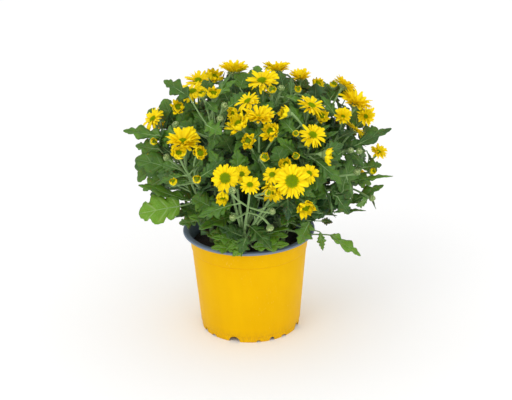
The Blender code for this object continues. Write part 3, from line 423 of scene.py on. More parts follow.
def place_heads():
    """Every head in its place, each stepped back along its sight line until it is clear."""
    rng = random.Random(SEED + 2)
    wanted = []
    eye = view_axes()[0]
    for head in FRONT_HEADS:
        place = on_dome(head.px, head.py, head.forward)
        normal = facing(head.turn, head.tilt)
        towards = (eye - place).normalized()
        wanted.append((head.kind, place, head.size, normal, head.rise, towards))
    wanted += back_heads()
    placed = []
    trees = []
    for kind, place, size, normal, rise, towards in wanted:
        shape = open_head(size, rng, rise) if kind == "open" else half_open_head(size, rng)
        spin = rng.uniform(0.0, FULL_TURN)
        centre = 0.2 * size * MM
        for step in range(HEAD_STEPS):
            frame_here = face_matrix(place - normal * centre, normal, spin)
            points = [frame_here @ Vector(point) for point in shape[0]]
            guard = [place + (point - place) * HEAD_MARGIN for point in points]
            tree = BVHTree.FromPolygons(guard, shape[1])
            near = (other for spot, other in trees if (spot - place).length < HEAD_REACH)
            if not any(tree.overlap(other) for other in near):
                break
            place = place - towards * HEAD_STEP * MM
        trees.append((place.copy(), tree))
        base = place - normal * centre
        placed.append(
            HeadPlace(kind, base, size, normal, points, shape[1], tree, frame_here, shape[2], rise))
    return placed


Path = namedtuple("Path", "points radii")


def bezier(start, lead, follow, end, count):
    points = []
    for index in range(count + 1):
        t = index / count
        s = 1.0 - t
        points.append(
            start * s ** 3 + lead * (3 * s * s * t) + follow * (3 * s * t * t) + end * t ** 3)
    return points


def cup_end(points, radii, head, thin):
    """Lengthen a stalk with the flared green cup under its head, or with the bud on its end."""
    flare = base_radius(head.kind, head.size)
    reach = head.size * MM
    if head.kind in ("open", "half_open"):
        length = 0.16 * reach if head.kind == "open" else 0.30 * reach
        last = head.place - head.normal * GAP
        points += [last - head.normal * length, last]
        radii += [thin, flare * 1.3]
    else:
        swell = 0.46 * reach if head.kind == "bud" else 0.40 * reach
        tip = 0.40 if head.kind == "bud" else 0.95
        base = head.place
        points += [base, base + head.normal * 0.34 * reach, base + head.normal * 0.80 * reach]
        radii += [thin, swell, swell * tip]


def curve_tube(path, group, resolution=0):
    """A closed round stem mesh along a path, from a curve with a bevel and filled caps."""
    curve = bpy.data.curves.new("tube", "CURVE")
    curve.dimensions = "3D"
    curve.bevel_depth = 1.0
    curve.bevel_resolution = resolution
    curve.use_fill_caps = True
    spline = curve.splines.new("POLY")
    spline.points.add(len(path.points) - 1)
    for point, place, radius in zip(spline.points, path.points, path.radii):
        point.co = (*place, 1.0)
        point.radius = radius
    holder = add_object("tube", curve, group)
    mesh = applied_mesh(holder, "tube")
    bpy.data.objects.remove(holder)
    return mesh


def crown_of(angle):
    """Foot and top of a plant's main stem."""
    base = plant_base(angle)
    foot = Vector((base.x, base.y, SOIL_LEVEL - STEM_HOLE_DEPTH + 1.0 * MM))
    top = Vector((base.x, base.y, SOIL_LEVEL + MAIN_STEM_ABOVE_SOIL))
    return foot, top


def shoot_path(foot, top, share, head, bow):
    """A shoot from a plant's main stem to the back of a head, bowed out of the way."""
    start = foot.lerp(top, share)
    span = (head.place - start).length
    out = Vector((head.place.x - start.x, head.place.y - start.y, 0.0))
    lead = start + (out.normalized() * 0.55 + Vector((0.0, 0.0, 0.8))).normalized() * span * 0.42
    end = head.place - head.normal * 0.22 * head.size * MM
    follow = end - head.normal * max(11.0 * MM, 0.24 * span)
    points = bezier(start, lead + bow * 0.5, follow + bow, end, 4)[:-1]
    radii = [SHOOT_RADIUS * (1.0 - 0.08 * index) for index in range(len(points))]
    cup_end(points, radii, head, SHOOT_RADIUS * 0.72)
    return Path(points, radii)


def stalk_starts(shoots, head):
    """Places on a plant's shoots for a side stalk to a head, best first, with their directions."""
    starts = []
    for owner, shoot in shoots:
        body = shoot.points[1:-2]
        for low, high in zip(body, body[1:]):
            for share in (0.0, 0.5):
                start = low.lerp(high, share)
                along = (high - low).normalized()
                away = head.place - start
                score = abs(away.length - STALK_LENGTH)
                if away.normalized().dot(along) < 0.35:
                    score += 20.0 * MM
                starts.append((score, start, along))
    starts.sort(key=lambda item: item[0])
    return starts


def stalk_path(start, along, head, bow):
    """A side stalk from a place on a shoot to the back of a head."""
    away = head.place - start
    span = away.length
    lead = start + (along * 0.5 + away.normalized() * 0.6).normalized() * span * 0.4
    flare = 0.30 if head.kind == "half_open" else 0.0
    end = head.place - head.normal * flare * head.size * MM
    follow = end - head.normal * max(5.0 * MM, 0.25 * span)
    points = bezier(start, lead + bow * 0.5, follow + bow, end, 2)[:-1]
    radii = [STALK_RADIUS] * len(points)
    cup_end(points, radii, head, STALK_RADIUS * 0.95)
    return Path(points, radii)


def bows(head):
    """Ways to bow a stem out of the way: none first, then sideways, inward and down."""
    side = head.normal.cross(Vector((0.0, 0.0, 1.0)))
    side = side.normalized() if side.length > 0.1 else Vector((1.0, 0.0, 0.0))
    inward = (DOME_CENTRE - head.place).normalized()
    yield Vector()
    for reach in (5.0 * MM, 10.0 * MM, 15.0 * MM, 21.0 * MM, 28.0 * MM):
        for way in (side, -side, inward, (side + inward) * 0.7, (inward - side) * 0.7, -inward):
            yield way * reach


def sector_of(place):
    """The plant whose side of the pot a place is on."""
    scores = [plant_base(angle).dot(Vector((place.x, place.y, 0.0))) for name, angle in PLANTS]
    return scores.index(max(scores))


class Thicket:
    """The stems grown so far, and what each new one must keep clear of."""

    def __init__(self, heads, solids, group):
        self.heads = heads
        self.solids = [tree_of([mesh_shape(obj.data)]) for obj in solids]
        self.group = group
        self.stems = []

    def clear(self, path, own, plant):
        wide = Path(path.points, [radius + STEM_CLEARANCE for radius in path.radii])
        tube = tree_of([mesh_shape(curve_tube(wide, self.group))])
        for head in self.heads:
            loose = head.kind in ("opening", "bud") and sector_of(head.place) == plant
            if head is not own and not loose and tube.overlap(head.guard):
                return False
        if any(tube.overlap(tree) for tree in self.solids):
            return False
        return not any(owner != plant and tube.overlap(tree) for owner, tree in self.stems)

    def add(self, path, plant):
        self.stems.append((plant, tree_of([mesh_shape(curve_tube(path, self.group))])))

    def grow(self, paths, own, plant):
        """Keep and return the first of some paths to a head that is clear, or None."""
        for path in paths:
            if self.clear(path, own, plant):
                self.add(path, plant)
                return path
        return None


Plant = namedtuple("Plant", "name foot top shoots stalks")


def shoot_paths(plant, head, shares):
    for share in shares:
        for bow in bows(head):
            yield shoot_path(plant.foot, plant.top, share, head, bow)


def stalk_paths(plant, head):
    for score, start, along in stalk_starts(plant.shoots, head)[:10]:
        if score < STALK_LENGTH:
            for bow in bows(head):
                yield stalk_path(start, along, head, bow)


def grow_stems(heads, thicket):
    """Shoots and stalks of the five plants, each ending at a head or a bud."""
    plants = []
    for index, (name, angle) in enumerate(PLANTS):
        foot, top = crown_of(angle)
        plants.append(Plant(name, foot, top, [], []))
        thicket.add(Path([foot, top], [MAIN_STEM_RADIUS] * 2), index)
    for index, plant in enumerate(plants):
        ends = [head for head in heads if head.kind == "open" and sector_of(head.place) == index]
        for rank, head in enumerate(ends):
            share = 0.58 + 0.40 * (rank + 0.5) / len(ends)
            path = thicket.grow(shoot_paths(plant, head, (share, 0.97, 0.60)), head, index)
            if path is None:
                raise RuntimeError("no clear way to the bloom at %s" % head.place)
            plant.shoots.append((head, path))
    for index, plant in enumerate(plants):
        rest = [head for head in heads if head.kind != "open" and sector_of(head.place) == index]
        for head in rest:
            path = thicket.grow(stalk_paths(plant, head), head, index)
            if path:
                plant.stalks.append((head, path))
                continue
            path = thicket.grow(shoot_paths(plant, head, (0.75,)), head, index)
            if path is None:
                raise RuntimeError("no clear way to the small head at %s" % head.place)
            plant.shoots.append((head, path))
    return plants


def stem_meshes(plant, group):
    """The closed tubes of a plant: its main stem, its shoots and its stalks."""
    main_stem = Path([plant.foot, plant.top], [MAIN_STEM_RADIUS] * 2)
    return [curve_tube(main_stem, group, 1)] + [
        curve_tube(path, group) for head, path in plant.shoots + plant.stalks]


# A leaf blade in units of its length and half its width: left outline from base to tip, and midrib
BLADE_LEFT = ((0.72, 0.22), (0.44, 0.36), (1.0, 0.60), (0.46, 0.70))
BLADE_MIDRIB = (0.34, 0.70)
SMALL_LEFT = ((0.95, 0.44), (0.50, 0.58))
SMALL_MIDRIB = (0.50,)

# A leaf: its frame stands at the blade's base with Y along the midrib and Z out of its upper side,
# and root is where its stalk starts, in that frame
Leaf = namedtuple("Leaf", "frame root length width arch fold small")


def leaf_sheet(leaf, margin=0.0):
    """A lobed leaf as a sheet: its points, the length of its outline ring and its triangles."""
    half = leaf.width / 2 + margin
    length = leaf.length + margin
    left = SMALL_LEFT if leaf.small else BLADE_LEFT
    rib = SMALL_MIDRIB if leaf.small else BLADE_MIDRIB
    side = Vector((0.0, 0.0, 1.0)).cross(leaf.root).normalized() * (STALK_WIDTH / 2 + margin)

    def bent(across, along):
        share = along / length
        return Vector((across, along, leaf.fold * abs(across) - leaf.arch * length * share ** 2))

    ring = [leaf.root - side, bent(-side.length, 0.0)]
    ring += [bent(-half * x, length * y) for x, y in left]
    ring += [bent(0.0, length)]
    ring += [bent(half * x, length * y) for x, y in reversed(left)]
    ring += [bent(side.length, 0.0), leaf.root + side]
    count = len(ring)
    points = ring + [bent(0.0, length * y) for y in rib]
    m1 = count
    if leaf.small:
        blade = [(1, 2, m1), (2, 3, m1), (3, 4, m1), (7, m1, 6), (6, m1, 5), (5, m1, 4)]
    else:
        m2 = count + 1
        blade = [(1, 2, m1), (2, 3, m1), (3, m2, m1), (3, 4, m2), (4, 5, m2), (5, 6, m2)]
        blade += [(11, m1, 10), (10, m1, 9), (9, m1, m2), (9, m2, 8), (8, m2, 7), (7, m2, 6)]
    last = count - 1
    stalk = [(0, 1, last - 1), (0, last - 1, last), (1, m1, last - 1)]
    return points, count, stalk + blade


def thicken(points, count, triangles, up, thickness):
    """A sheet made solid along one direction, cut into the same triangles on both faces."""
    offset = up * (thickness / 2)
    number = len(points)
    solid = [point + offset for point in points] + [point - offset for point in points]
    faces = [(a, c, b) for a, b, c in triangles]
    faces += [(a + number, b + number, c + number) for a, b, c in triangles]
    for index in range(count):
        after = (index + 1) % count
        faces.append((index, after, after + number, index + number))
    return solid, faces


def leaf_frame(root, direction, up):
    """A frame at a leaf's root whose Y runs along the leaf and whose Z is its upper side."""
    along = direction.normalized()
    across = along.cross(up).normalized()
    above = across.cross(along).normalized()
    frame = Matrix((across, along, above)).transposed().to_4x4()
    return Matrix.Translation(root) @ frame


def leaf_solid(leaf, margin=0.0):
    """A leaf's closed points and faces in the world, larger all round by a margin."""
    points, count, triangles = leaf_sheet(leaf, margin)
    thickness = BLADE_THICKNESS + 2 * margin
    solid, faces = thicken(points, count, triangles, Vector((0.0, 0.0, 1.0)), thickness)
    return [leaf.frame @ point for point in solid], faces


def leaf_guards(leaf):
    """Trees of the leaf made larger by its clearance: all of it, and its blade alone."""
    solid, faces = leaf_solid(leaf, LEAF_CLEARANCE)
    number = len(solid) // 2
    last = 8 if leaf.small else 12
    root = {0, last, number, number + last}
    whole = BVHTree.FromPolygons(solid, faces)
    blade = BVHTree.FromPolygons(solid, [face for face in faces if not root & set(face)])
    return whole, blade


def middle_of(leaf):
    return leaf.frame @ Vector((0.0, leaf.length / 2, 0.0))


def keep(leaf, index, kept, bed):
    kept[index].append(leaf)
    bed.add(leaf, index)


class Bed:
    """What leaves must keep clear of: the pot, the soil, the heads, the stems and other leaves."""

    def __init__(self, solids, heads, stems):
        self.fixed = [tree_of([mesh_shape(obj.data)]) for obj in solids]
        self.heads = tree_of([(head.points, head.faces) for head in heads
                              if head.kind in ("open", "half_open")])
        self.stems = [tree_of([mesh_shape(mesh) for mesh in meshes]) for meshes in stems]
        self.leaves = []

    def clear(self, leaf, plant, strict):
        whole, blade = leaf_guards(leaf)
        if any(whole.overlap(tree) for tree in self.fixed) or whole.overlap(self.heads):
            return False
        for index, tree in enumerate(self.stems):
            if (whole if index != plant else blade).overlap(tree):
                if index != plant or strict:
                    return False
        middle = middle_of(leaf)
        for owner, spot, tree in self.leaves:
            if (spot - middle).length > LEAF_REACH:
                continue
            if (owner != plant and whole.overlap(tree)) or (strict and blade.overlap(tree)):
                return False
        return True

    def add(self, leaf, plant):
        self.leaves.append((plant, middle_of(leaf), BVHTree.FromPolygons(*leaf_solid(leaf))))


def dome_square(place):
    """The square of a place's reach from the dome's middle, as a share of its radii."""
    offset = place - DOME_CENTRE
    return sum((offset[i] / DOME_RADII[i]) ** 2 for i in range(3))


def inside_dome(place, share):
    return dome_square(place) < share * share


def shown_leaf(shown, plants):
    """A leaf where the photo shows it, on the nearest shoot, and the number of its plant."""
    base = at_depth(*shown.base, shown.depth[0])
    tip = at_depth(*shown.tip, shown.depth[1])
    best = None
    for index, plant in enumerate(plants):
        for head, path in plant.shoots:
            body = path.points[:-3]
            for low, high in zip(body, body[1:]):
                for share in (0.0, 0.33, 0.66):
                    point = low.lerp(high, share)
                    away = (base - point).length
                    if point.z <= base.z + 6.0 * MM and (best is None or away < best[0]):
                        best = (away, index, point)
    index, start = best[1:]
    stand = leaf_frame(base, tip - base, facing(shown.turn, shown.tilt))
    leaf = Leaf(stand, stand.inverted() @ start, (tip - base).length, shown.width * MM,
                SHOWN_ARCH, SHOWN_FOLD, shown.width < 14)
    return leaf, index


LEAF_TRIES = (
    (0.0, 0.0, 1.0), (24.0, 0.0, 1.0), (-24.0, 0.0, 1.0), (0.0, 22.0, 1.0), (0.0, -22.0, 1.0),
    (45.0, 12.0, 0.9), (-45.0, 12.0, 0.9), (20.0, 35.0, 0.85), (-20.0, 35.0, 0.85),
    (70.0, 0.0, 0.85), (-70.0, 0.0, 0.85), (0.0, 10.0, 0.7), (40.0, 30.0, 0.7),
    (-40.0, 30.0, 0.7), (100.0, 15.0, 0.7), (-100.0, 15.0, 0.7),
)


def walk(points, first, spacing):
    """Places, directions and shares of the way at equal steps along a line of points."""
    total = sum((high - low).length for low, high in zip(points, points[1:]))
    done = 0.0
    wanted = first * total
    for low, high in zip(points, points[1:]):
        step = high - low
        while wanted < done + step.length:
            yield low + step * ((wanted - done) / step.length), step.normalized(), wanted / total
            wanted += spacing
        done += step.length


def place_leaves(plants, bed):
    """The leaves that the photo shows, then leaves along every shoot, in a list for each plant."""
    rng = random.Random(SEED + 3)
    kept = [[] for plant in plants]
    for shown in SHOWN_LEAVES:
        leaf, index = shown_leaf(shown, plants)
        if bed.clear(leaf, index, False):
            keep(leaf, index, kept, bed)
    for index, plant in enumerate(plants):
        turn = rng.uniform(0.0, FULL_TURN)
        lines = [(path.points[:-2], SHOOT_BARE, LEAF_SPACING) for head, path in plant.shoots]
        lines.insert(0, ([plant.foot.lerp(plant.top, 0.5), plant.top], 0.1, 8.0 * MM))
        for line, first, spacing in lines:
            for place, along, share in walk(line, first, spacing):
                turn += LEAF_TURN
                length = (49.0 - 23.0 * share) * MM * rng.uniform(0.88, 1.12)
                slant = math.radians(30.0 + 14.0 * share + rng.uniform(-8.0, 8.0))
                leaf = try_leaf(place, along, turn, length, slant, index, bed, rng)
                if leaf:
                    keep(leaf, index, kept, bed)
    return kept


def try_leaf(place, along, turn, length, slant, plant, bed, rng, strict=True):
    """The first of a leaf's positions and sizes that keeps clear of everything, or none."""
    side = along.orthogonal().normalized()
    ratio = rng.uniform(0.58, 0.74)
    arch = rng.uniform(0.10, 0.30)
    fold = rng.uniform(0.10, 0.26)
    small = length < SMALL_LEAF
    for swing, pitch, scale in LEAF_TRIES:
        around = Matrix.Rotation(turn + math.radians(swing), 3, along)
        out = around @ side
        rise = slant + math.radians(pitch)
        direction = out * math.cos(rise) + along * math.sin(rise)
        size = length * scale
        stalk = STALK_SHARE * size
        frame = leaf_frame(place + direction * stalk, direction, along)
        root = Vector((0.0, -stalk - ROOT_SINK, 0.0))
        leaf = Leaf(frame, root, size, size * ratio, arch, fold, small)
        tip = leaf.frame @ Vector((0.0, size, -arch * size))
        if not inside_dome(tip, 1.04) or tip.z < SOIL_LEVEL + 4.0 * MM:
            continue
        if bed.clear(leaf, plant, strict):
            return leaf
    return None


def plant_base(angle):
    turn = math.radians(angle)
    return Vector((math.sin(turn), -math.cos(turn), 0.0)) * PLANT_RING_RADIUS


def wall_radius(height):
    """Outer radius of the pot's wall at a height, shoulder step not counted."""
    return STEP_RADIUS + (height - STEP_HEIGHT) * TAPER


def mesh_from(name, points, faces):
    mesh = bpy.data.meshes.new(name)
    mesh.from_pydata(points, [], faces)
    mesh.update()
    return mesh


def turn_outward(mesh, merge=0.0):
    """Turn a mesh's faces outward, once the points that are closer than merge are joined."""
    shape = bmesh.new()
    shape.from_mesh(mesh)
    if merge:
        bmesh.ops.remove_doubles(shape, verts=shape.verts, dist=merge)
    bmesh.ops.recalc_face_normals(shape, faces=shape.faces)
    shape.to_mesh(mesh)
    shape.free()


def applied_mesh(obj, name):
    """The object's mesh with its modifiers applied, doubles merged and faces outward."""
    depsgraph = bpy.context.evaluated_depsgraph_get()
    mesh = bpy.data.meshes.new_from_object(obj.evaluated_get(depsgraph))
    mesh.name = name
    turn_outward(mesh, 0.01 * MM)
    return mesh


def bmesh_mesh(name, shape):
    """The mesh of a bmesh that isn't needed any more."""
    mesh = bpy.data.meshes.new(name)
    shape.to_mesh(mesh)
    shape.free()
    return mesh


def add_object(name, data, group):
    obj = bpy.data.objects.new(name, data)
    group.objects.link(obj)
    return obj


# Settings shown in the sidebar


def colour(name, description, default):
    return FloatVectorProperty(
        name=name, description=description, subtype="COLOR", size=3, min=0.0, max=1.0,
        default=default)


def number(name, description, default, least=0.0, **more):
    return FloatProperty(name=name, description=description, default=default, min=least, **more)


class FlowerSettings(bpy.types.PropertyGroup):
    """Colours and counts of the flower heads."""

    ray_colour: colour("Petal", "Colour of a petal towards its tip", (1.0, 0.765, 0.004))
    ray_base_colour: colour("Petal base", "Colour of a petal at the disc", (1.0, 0.70, 0.002))
    young_ray_colour: colour("Young petal", "Colour of petals that still stand up", (1.0, 0.80, 0.008))
    disc_colour: colour("Disc", "Colour of the middle of a disc", (0.16, 0.28, 0.0))
    disc_rim_colour: colour("Disc rim", "Colour of the outer florets", (0.36, 0.44, 0.0))
    cup_colour: colour("Cup", "Colour of the green cup and its bracts", (0.105, 0.19, 0.045))
    bract_edge_colour: colour("Bract edge", "Colour of the rim of a bract", (0.56, 0.64, 0.28))
    florets: IntProperty(
        name="Florets", description="Florets on the disc of an open head", default=80, min=10)
    ray_breadth: number(
        "Petal breadth", "Breadth of a petal as a share of its place in the ring", 1.16, 0.5, max=1.6,
        subtype="FACTOR")


class LeafSettings(bpy.types.PropertyGroup):
    """Colours of the leaves, and how close the inner leaves stand."""

    blade_colour: colour("Blade", "Colour of the upper side", (0.0095, 0.057, 0.0105))
    old_colour: colour("Old blade", "Colour of the darkest leaves", (0.006, 0.034, 0.013))
    under_colour: colour("Underside", "Colour of the underside", (0.075, 0.150, 0.055))
    vein_colour: colour("Vein", "Colour of the ribs", (0.085, 0.18, 0.052))
    # Painted shade: the near-black green given to leaves deep in the bush
    painted_shade_colour: colour("Shaded blade", "Colour of leaves deep in the bush", (0.003, 0.016, 0.006))
    young_vein_colour: colour("Young vein", "Colour of a pale leaf's ribs", (0.28, 0.44, 0.12))
    young_colour: colour("Young blade", "Colour of the palest leaves", (0.13, 0.30, 0.006))
    inner_spacing: number(
        "Inner leaf spacing", "Distance between the inner leaves along a shoot", 0.0095, 0.005,
        unit="LENGTH")
    blade_thickness: number(
        "Blade thickness", "Thickness of a leaf blade as a share of its length", 0.011, 0.002,
        max=0.03, subtype="FACTOR")


class StemSettings(bpy.types.PropertyGroup):
    """Colours and smoothness of the stems."""

    stem_colour: colour("Stem", "Colour of the upper stems", (0.22, 0.36, 0.12))
    foot_colour: colour("Stem foot", "Colour of the stems at the soil", (0.09, 0.11, 0.04))
    step: number("Step", "Distance between the rings of a stem", 0.0022, 0.0005, unit="LENGTH")
    petiole_radius: number(
        "Leaf stalk radius", "Radius of a leaf's stalk", 0.00065, 0.0002, unit="LENGTH")


class PotSettings(bpy.types.PropertyGroup):
    """Colours and roundness of the pot."""

    wall_colour: colour("Wall", "Colour of the outside", (0.80, 0.455, 0.0))
    lip_colour: colour("Lip", "Colour of the lip and the inside", (0.175, 0.22, 0.29))
    steps: IntProperty(name="Steps", description="Steps round the pot", default=160, min=24)


class SoilSettings(bpy.types.PropertyGroup):
    """Colour and lumps of the soil."""

    soil_colour: colour("Soil", "Colour of the soil", (0.032, 0.019, 0.014))
    lump: number("Lump height", "Height of the lumps of the surface", 0.0016, unit="LENGTH")
    crumb_density: number("Crumbs", "Crumbs to the square metre", 90000.0)


class StageSettings(bpy.types.PropertyGroup):
    """Floor and light of the studio."""

    floor_colour: colour("Floor", "Colour of the floor", (0.95, 0.95, 0.95))
    surround: number("Surround", "Strength of the light from all round", 1.02)
    key_power: number("Key light", "Power of the large soft light", 9.5, unit="POWER")
    fill_power: number("Fill light", "Power of the light on the other side", 9.5, unit="POWER")


# Node trees

# The turn from one disc floret to the next, their lean at the disc's rim, their size in gaps, and
# the waves along a leaf
GOLDEN_ANGLE = math.radians(137.508)
FLORET_LEAN = 0.55
FLORET_SIZES = (1.75, 2.15)
RIPPLES = 11.0

# Least size of a crumb in metres, and how much larger the largest is
CRUMB_SIZES = (0.0005, 0.0013)


def socket_named(sockets, name):
    for socket in sockets:
        if socket.enabled and name in (socket.name, socket.identifier):
            return socket
    raise RuntimeError("the node has no socket named " + name)


def fill(socket, value):
    """Link an input to a node's output, or set it to a value."""
    if isinstance(value, bpy.types.NodeSocket):
        socket.id_data.links.new(value, socket)
    else:
        socket.default_value = value


def put(tree, kind, inputs=None, **settings):
    """A node with its settings made and its inputs linked or filled in."""
    node = tree.nodes.new(kind)
    for name, value in settings.items():
        setattr(node, name, value)
    for name, value in (inputs or {}).items():
        fill(socket_named(node.inputs, name), value)
    return node


def live(sockets):
    return [socket for socket in sockets if socket.enabled]


def tree_with(values):
    """The node tree of the first socket among some numbers and sockets."""
    return next(value.id_data for value in values if isinstance(value, bpy.types.NodeSocket))


def calc(operation, *values):
    """The result of a Math node; a value is a number or a socket."""
    node = put(tree_with(values), "ShaderNodeMath", operation=operation)
    for socket, value in zip(node.inputs, values):
        fill(socket, value)
    return node.outputs[0]


plus, minus, times, over, times_plus = (
    partial(calc, operation)
    for operation in ("ADD", "SUBTRACT", "MULTIPLY", "DIVIDE", "MULTIPLY_ADD"))


def vector_calc(operation, first, second):
    node = put(first.id_data, "ShaderNodeVectorMath", {"Vector": first}, operation=operation)
    fill(node.inputs["Scale"] if operation == "SCALE" else node.inputs[1], second)
    return live(node.outputs)[0]


def combine(*values):
    return put(tree_with(values), "ShaderNodeCombineXYZ", dict(zip("XYZ", values))).outputs[0]


def separate(vector):
    return list(put(vector.id_data, "ShaderNodeSeparateXYZ", {"Vector": vector}).outputs)


def growth_tree(name, inputs):
    """A geometry tree with named inputs, each with its kind of socket, and what it is given."""
    tree = bpy.data.node_groups.new(name, "GeometryNodeTree")
    tree.interface.new_socket("Geometry", in_out="OUTPUT", socket_type="NodeSocketGeometry")
    for label, kind in {"Geometry": "Geometry", **inputs}.items():
        tree.interface.new_socket(label, in_out="INPUT", socket_type="NodeSocket" + kind)
    return tree, tree.nodes.new("NodeGroupInput").outputs


def give(tree, geometry):
    """End a geometry tree with what it gives."""
    put(tree, "NodeGroupOutput", {"Geometry": geometry})
    return tree


def attribute(tree, name, kind="FLOAT_VECTOR"):
    node = put(tree, "GeometryNodeInputNamedAttribute", {"Name": name}, data_type=kind)
    return socket_named(node.outputs, "Attribute")


def store(geometry, name, value, kind="FLOAT"):
    inputs = {"Geometry": geometry, "Name": name, "Value": value}
    return put(geometry.id_data, "GeometryNodeStoreNamedAttribute", inputs, data_type=kind,
               domain="POINT").outputs[0]


def chance(low, high, seed):
    inputs = {"Min": low, "Max": high, "Seed": seed}
    node = put(seed.id_data, "FunctionNodeRandomValue", inputs, data_type="FLOAT")
    return socket_named(node.outputs, "Value")


def set_material(geometry, material, selection=True):
    inputs = {"Geometry": geometry, "Material": material, "Selection": selection}
    return put(geometry.id_data, "GeometryNodeSetMaterial", inputs).outputs[0]


def turned(euler):
    return put(euler.id_data, "FunctionNodeEulerToRotation", {"Euler": euler}).outputs[0]


def picked(shapes):
    """A collection's shapes as separate instances, and the setting that gives each point one."""
    inputs = {"Collection": shapes, "Separate Children": True, "Reset Children": True}
    chosen = put(shapes.id_data, "GeometryNodeCollectionInfo", inputs).outputs[0]
    return {"Instance": chosen, "Pick Instance": True}


def repeated(points, inputs):
    """Instances on points as plain geometry."""
    tree = points.id_data
    placed = put(tree, "GeometryNodeInstanceOnPoints", {"Points": points, **inputs}).outputs[0]
    return put(tree, "GeometryNodeRealizeInstances", {"Geometry": placed}).outputs[0]


def scattered(tree, points, shapes, seed):
    """Instances of a collection's shapes on points that carry their turn, size and kind."""
    turn = turned(attribute(tree, "turn"))
    upright = put(
        tree, "FunctionNodeRotateVector", {"Vector": (0.0, 0.0, 1.0), "Rotation": turn}).outputs[0]
    marked = store(points, "upright", upright, "FLOAT_VECTOR")
    marked = store(marked, "tint", chance(0.0, 1.0, seed))
    return repeated(marked, {
        **picked(shapes), "Instance Index": attribute(tree, "kind", "INT"), "Rotation": turn,
        "Scale": attribute(tree, "size")})


@lru_cache
def head_tree():
    """Rays, cup and bracts on points, and florets in a spiral over the disc."""
    tree, given = growth_tree("flower_head", {
        "Shapes": "Collection", "Floret": "Object", "Florets": "Int", "Disc radius": "Float",
        "Disc height": "Float", "Dome": "Float", "Seed": "Int", "Ray material": "Material",
        "Cup material": "Material", "Disc material": "Material"})
    rays = scattered(tree, given["Geometry"], given["Shapes"], given["Seed"])
    rays = set_material(rays, given["Ray material"])
    green = calc("GREATER_THAN", attribute(tree, "kind", "INT"), RAY_FOLDED + 0.5)
    rays = set_material(rays, given["Cup material"], green)

    index = put(tree, "GeometryNodeInputIndex").outputs[0]
    share = over(plus(index, 0.5), given["Florets"])
    reach = times(calc("SQRT", share), given["Disc radius"])
    angle = times(index, GOLDEN_ANGLE)
    rise = times_plus(minus(1.0, share), given["Dome"], given["Disc height"])
    place = combine(times(reach, calc("COSINE", angle)), times(reach, calc("SINE", angle)), rise)
    points = put(
        tree, "GeometryNodePoints", {"Count": given["Florets"], "Position": place}).outputs[0]
    points = store(points, "reach", share)
    points = store(points, "tint", chance(0.0, 1.0, given["Seed"]))
    gap = over(given["Disc radius"], calc("SQRT", given["Florets"]))
    floret = put(tree, "GeometryNodeObjectInfo", {"Object": given["Floret"]}).outputs["Geometry"]
    florets = repeated(points, {
        "Instance": floret, "Rotation": turned(combine(0.0, times(share, FLORET_LEAN), angle)),
        "Scale": times(gap, chance(*FLORET_SIZES, given["Seed"]))})
    both = tree.nodes.new("GeometryNodeJoinGeometry")
    for part in (rays, set_material(florets, given["Disc material"])):
        fill(both.inputs[0], part)
    return give(tree, both.outputs[0])


@lru_cache
def foliage_tree():
    """Leaves on points, each arched and folded by its own amounts."""
    tree, given = growth_tree("foliage", {
        "Shapes": "Collection", "Seed": "Int", "Blade material": "Material"})
    leaves = scattered(tree, given["Geometry"], given["Shapes"], given["Seed"])
    across, along = separate(attribute(tree, "place"))[:2]
    width, length = separate(attribute(tree, "size"))[:2]
    arch, fold, wave = separate(attribute(tree, "bend"))
    half = times(calc("ABSOLUTE", across), times(width, 0.5))
    drop = times(times(along, along), times(arch, length))
    ripple = times(calc("SINE", times(along, RIPPLES)), times(half, wave))
    move = plus(minus(times(half, fold), drop), ripple)
    offset = vector_calc("SCALE", attribute(tree, "upright"), move)
    bent = put(tree, "GeometryNodeSetPosition", {"Geometry": leaves, "Offset": offset}).outputs[0]
    return give(tree, set_material(bent, given["Blade material"]))


@lru_cache
def stem_tree():
    """Round stems of varying thickness along smooth paths."""
    tree, given = growth_tree("stems", {
        "Step": "Float", "Sides": "Int", "Stem material": "Material"})
    line = put(tree, "GeometryNodeMeshToCurve", {"Mesh": given["Geometry"]}).outputs[0]
    line = put(tree, "GeometryNodeCurveSplineType", {"Curve": line}, spline_type="CATMULL_ROM")
    line = put(
        tree, "GeometryNodeResampleCurve", {"Curve": line.outputs[0], "Length": given["Step"]},
        mode="LENGTH").outputs[0]
    ring = put(
        tree, "GeometryNodeCurvePrimitiveCircle",
        {"Resolution": given["Sides"], "Radius": 1.0}).outputs[0]
    tube = put(
        tree, "GeometryNodeCurveToMesh",
        {"Curve": line, "Profile Curve": ring, "Fill Caps": True,
         "Scale": attribute(tree, "thick", "FLOAT")}).outputs[0]
    tube = put(tree, "GeometryNodeRealizeInstances", {"Geometry": tube}).outputs[0]
    return give(tree, set_material(tube, given["Stem material"]))


@lru_cache
def crumb_tree():
    """Crumbs over the level parts of the soil."""
    tree, given = growth_tree("crumbs", {
        "Shapes": "Collection", "Density": "Float", "Level": "Float", "Seed": "Int",
        "Soil material": "Material"})
    seed = given["Seed"]
    height = separate(put(tree, "GeometryNodeInputPosition").outputs[0])[2]
    facing_up = separate(put(tree, "GeometryNodeInputNormal").outputs[0])[2]
    level = times(calc("GREATER_THAN", height, given["Level"]), calc("GREATER_THAN", facing_up, 0.6))
    points = put(
        tree, "GeometryNodeDistributePointsOnFaces",
        {"Mesh": given["Geometry"], "Selection": level, "Density": given["Density"],
         "Seed": seed}, distribute_method="RANDOM").outputs[0]
    points = store(points, "tint", chance(0.0, 1.0, seed))
    smallest, spread = CRUMB_SIZES
    size = times_plus(calc("POWER", chance(0.0, 1.0, seed), 3.0), spread, smallest)
    spin = combine(times(size, 4000.0), chance(0.0, FULL_TURN, seed), times(size, 9000.0))
    crumbs = repeated(points, {**picked(given["Shapes"]), "Rotation": turned(spin), "Scale": size})
    return give(tree, set_material(crumbs, given["Soil material"]))


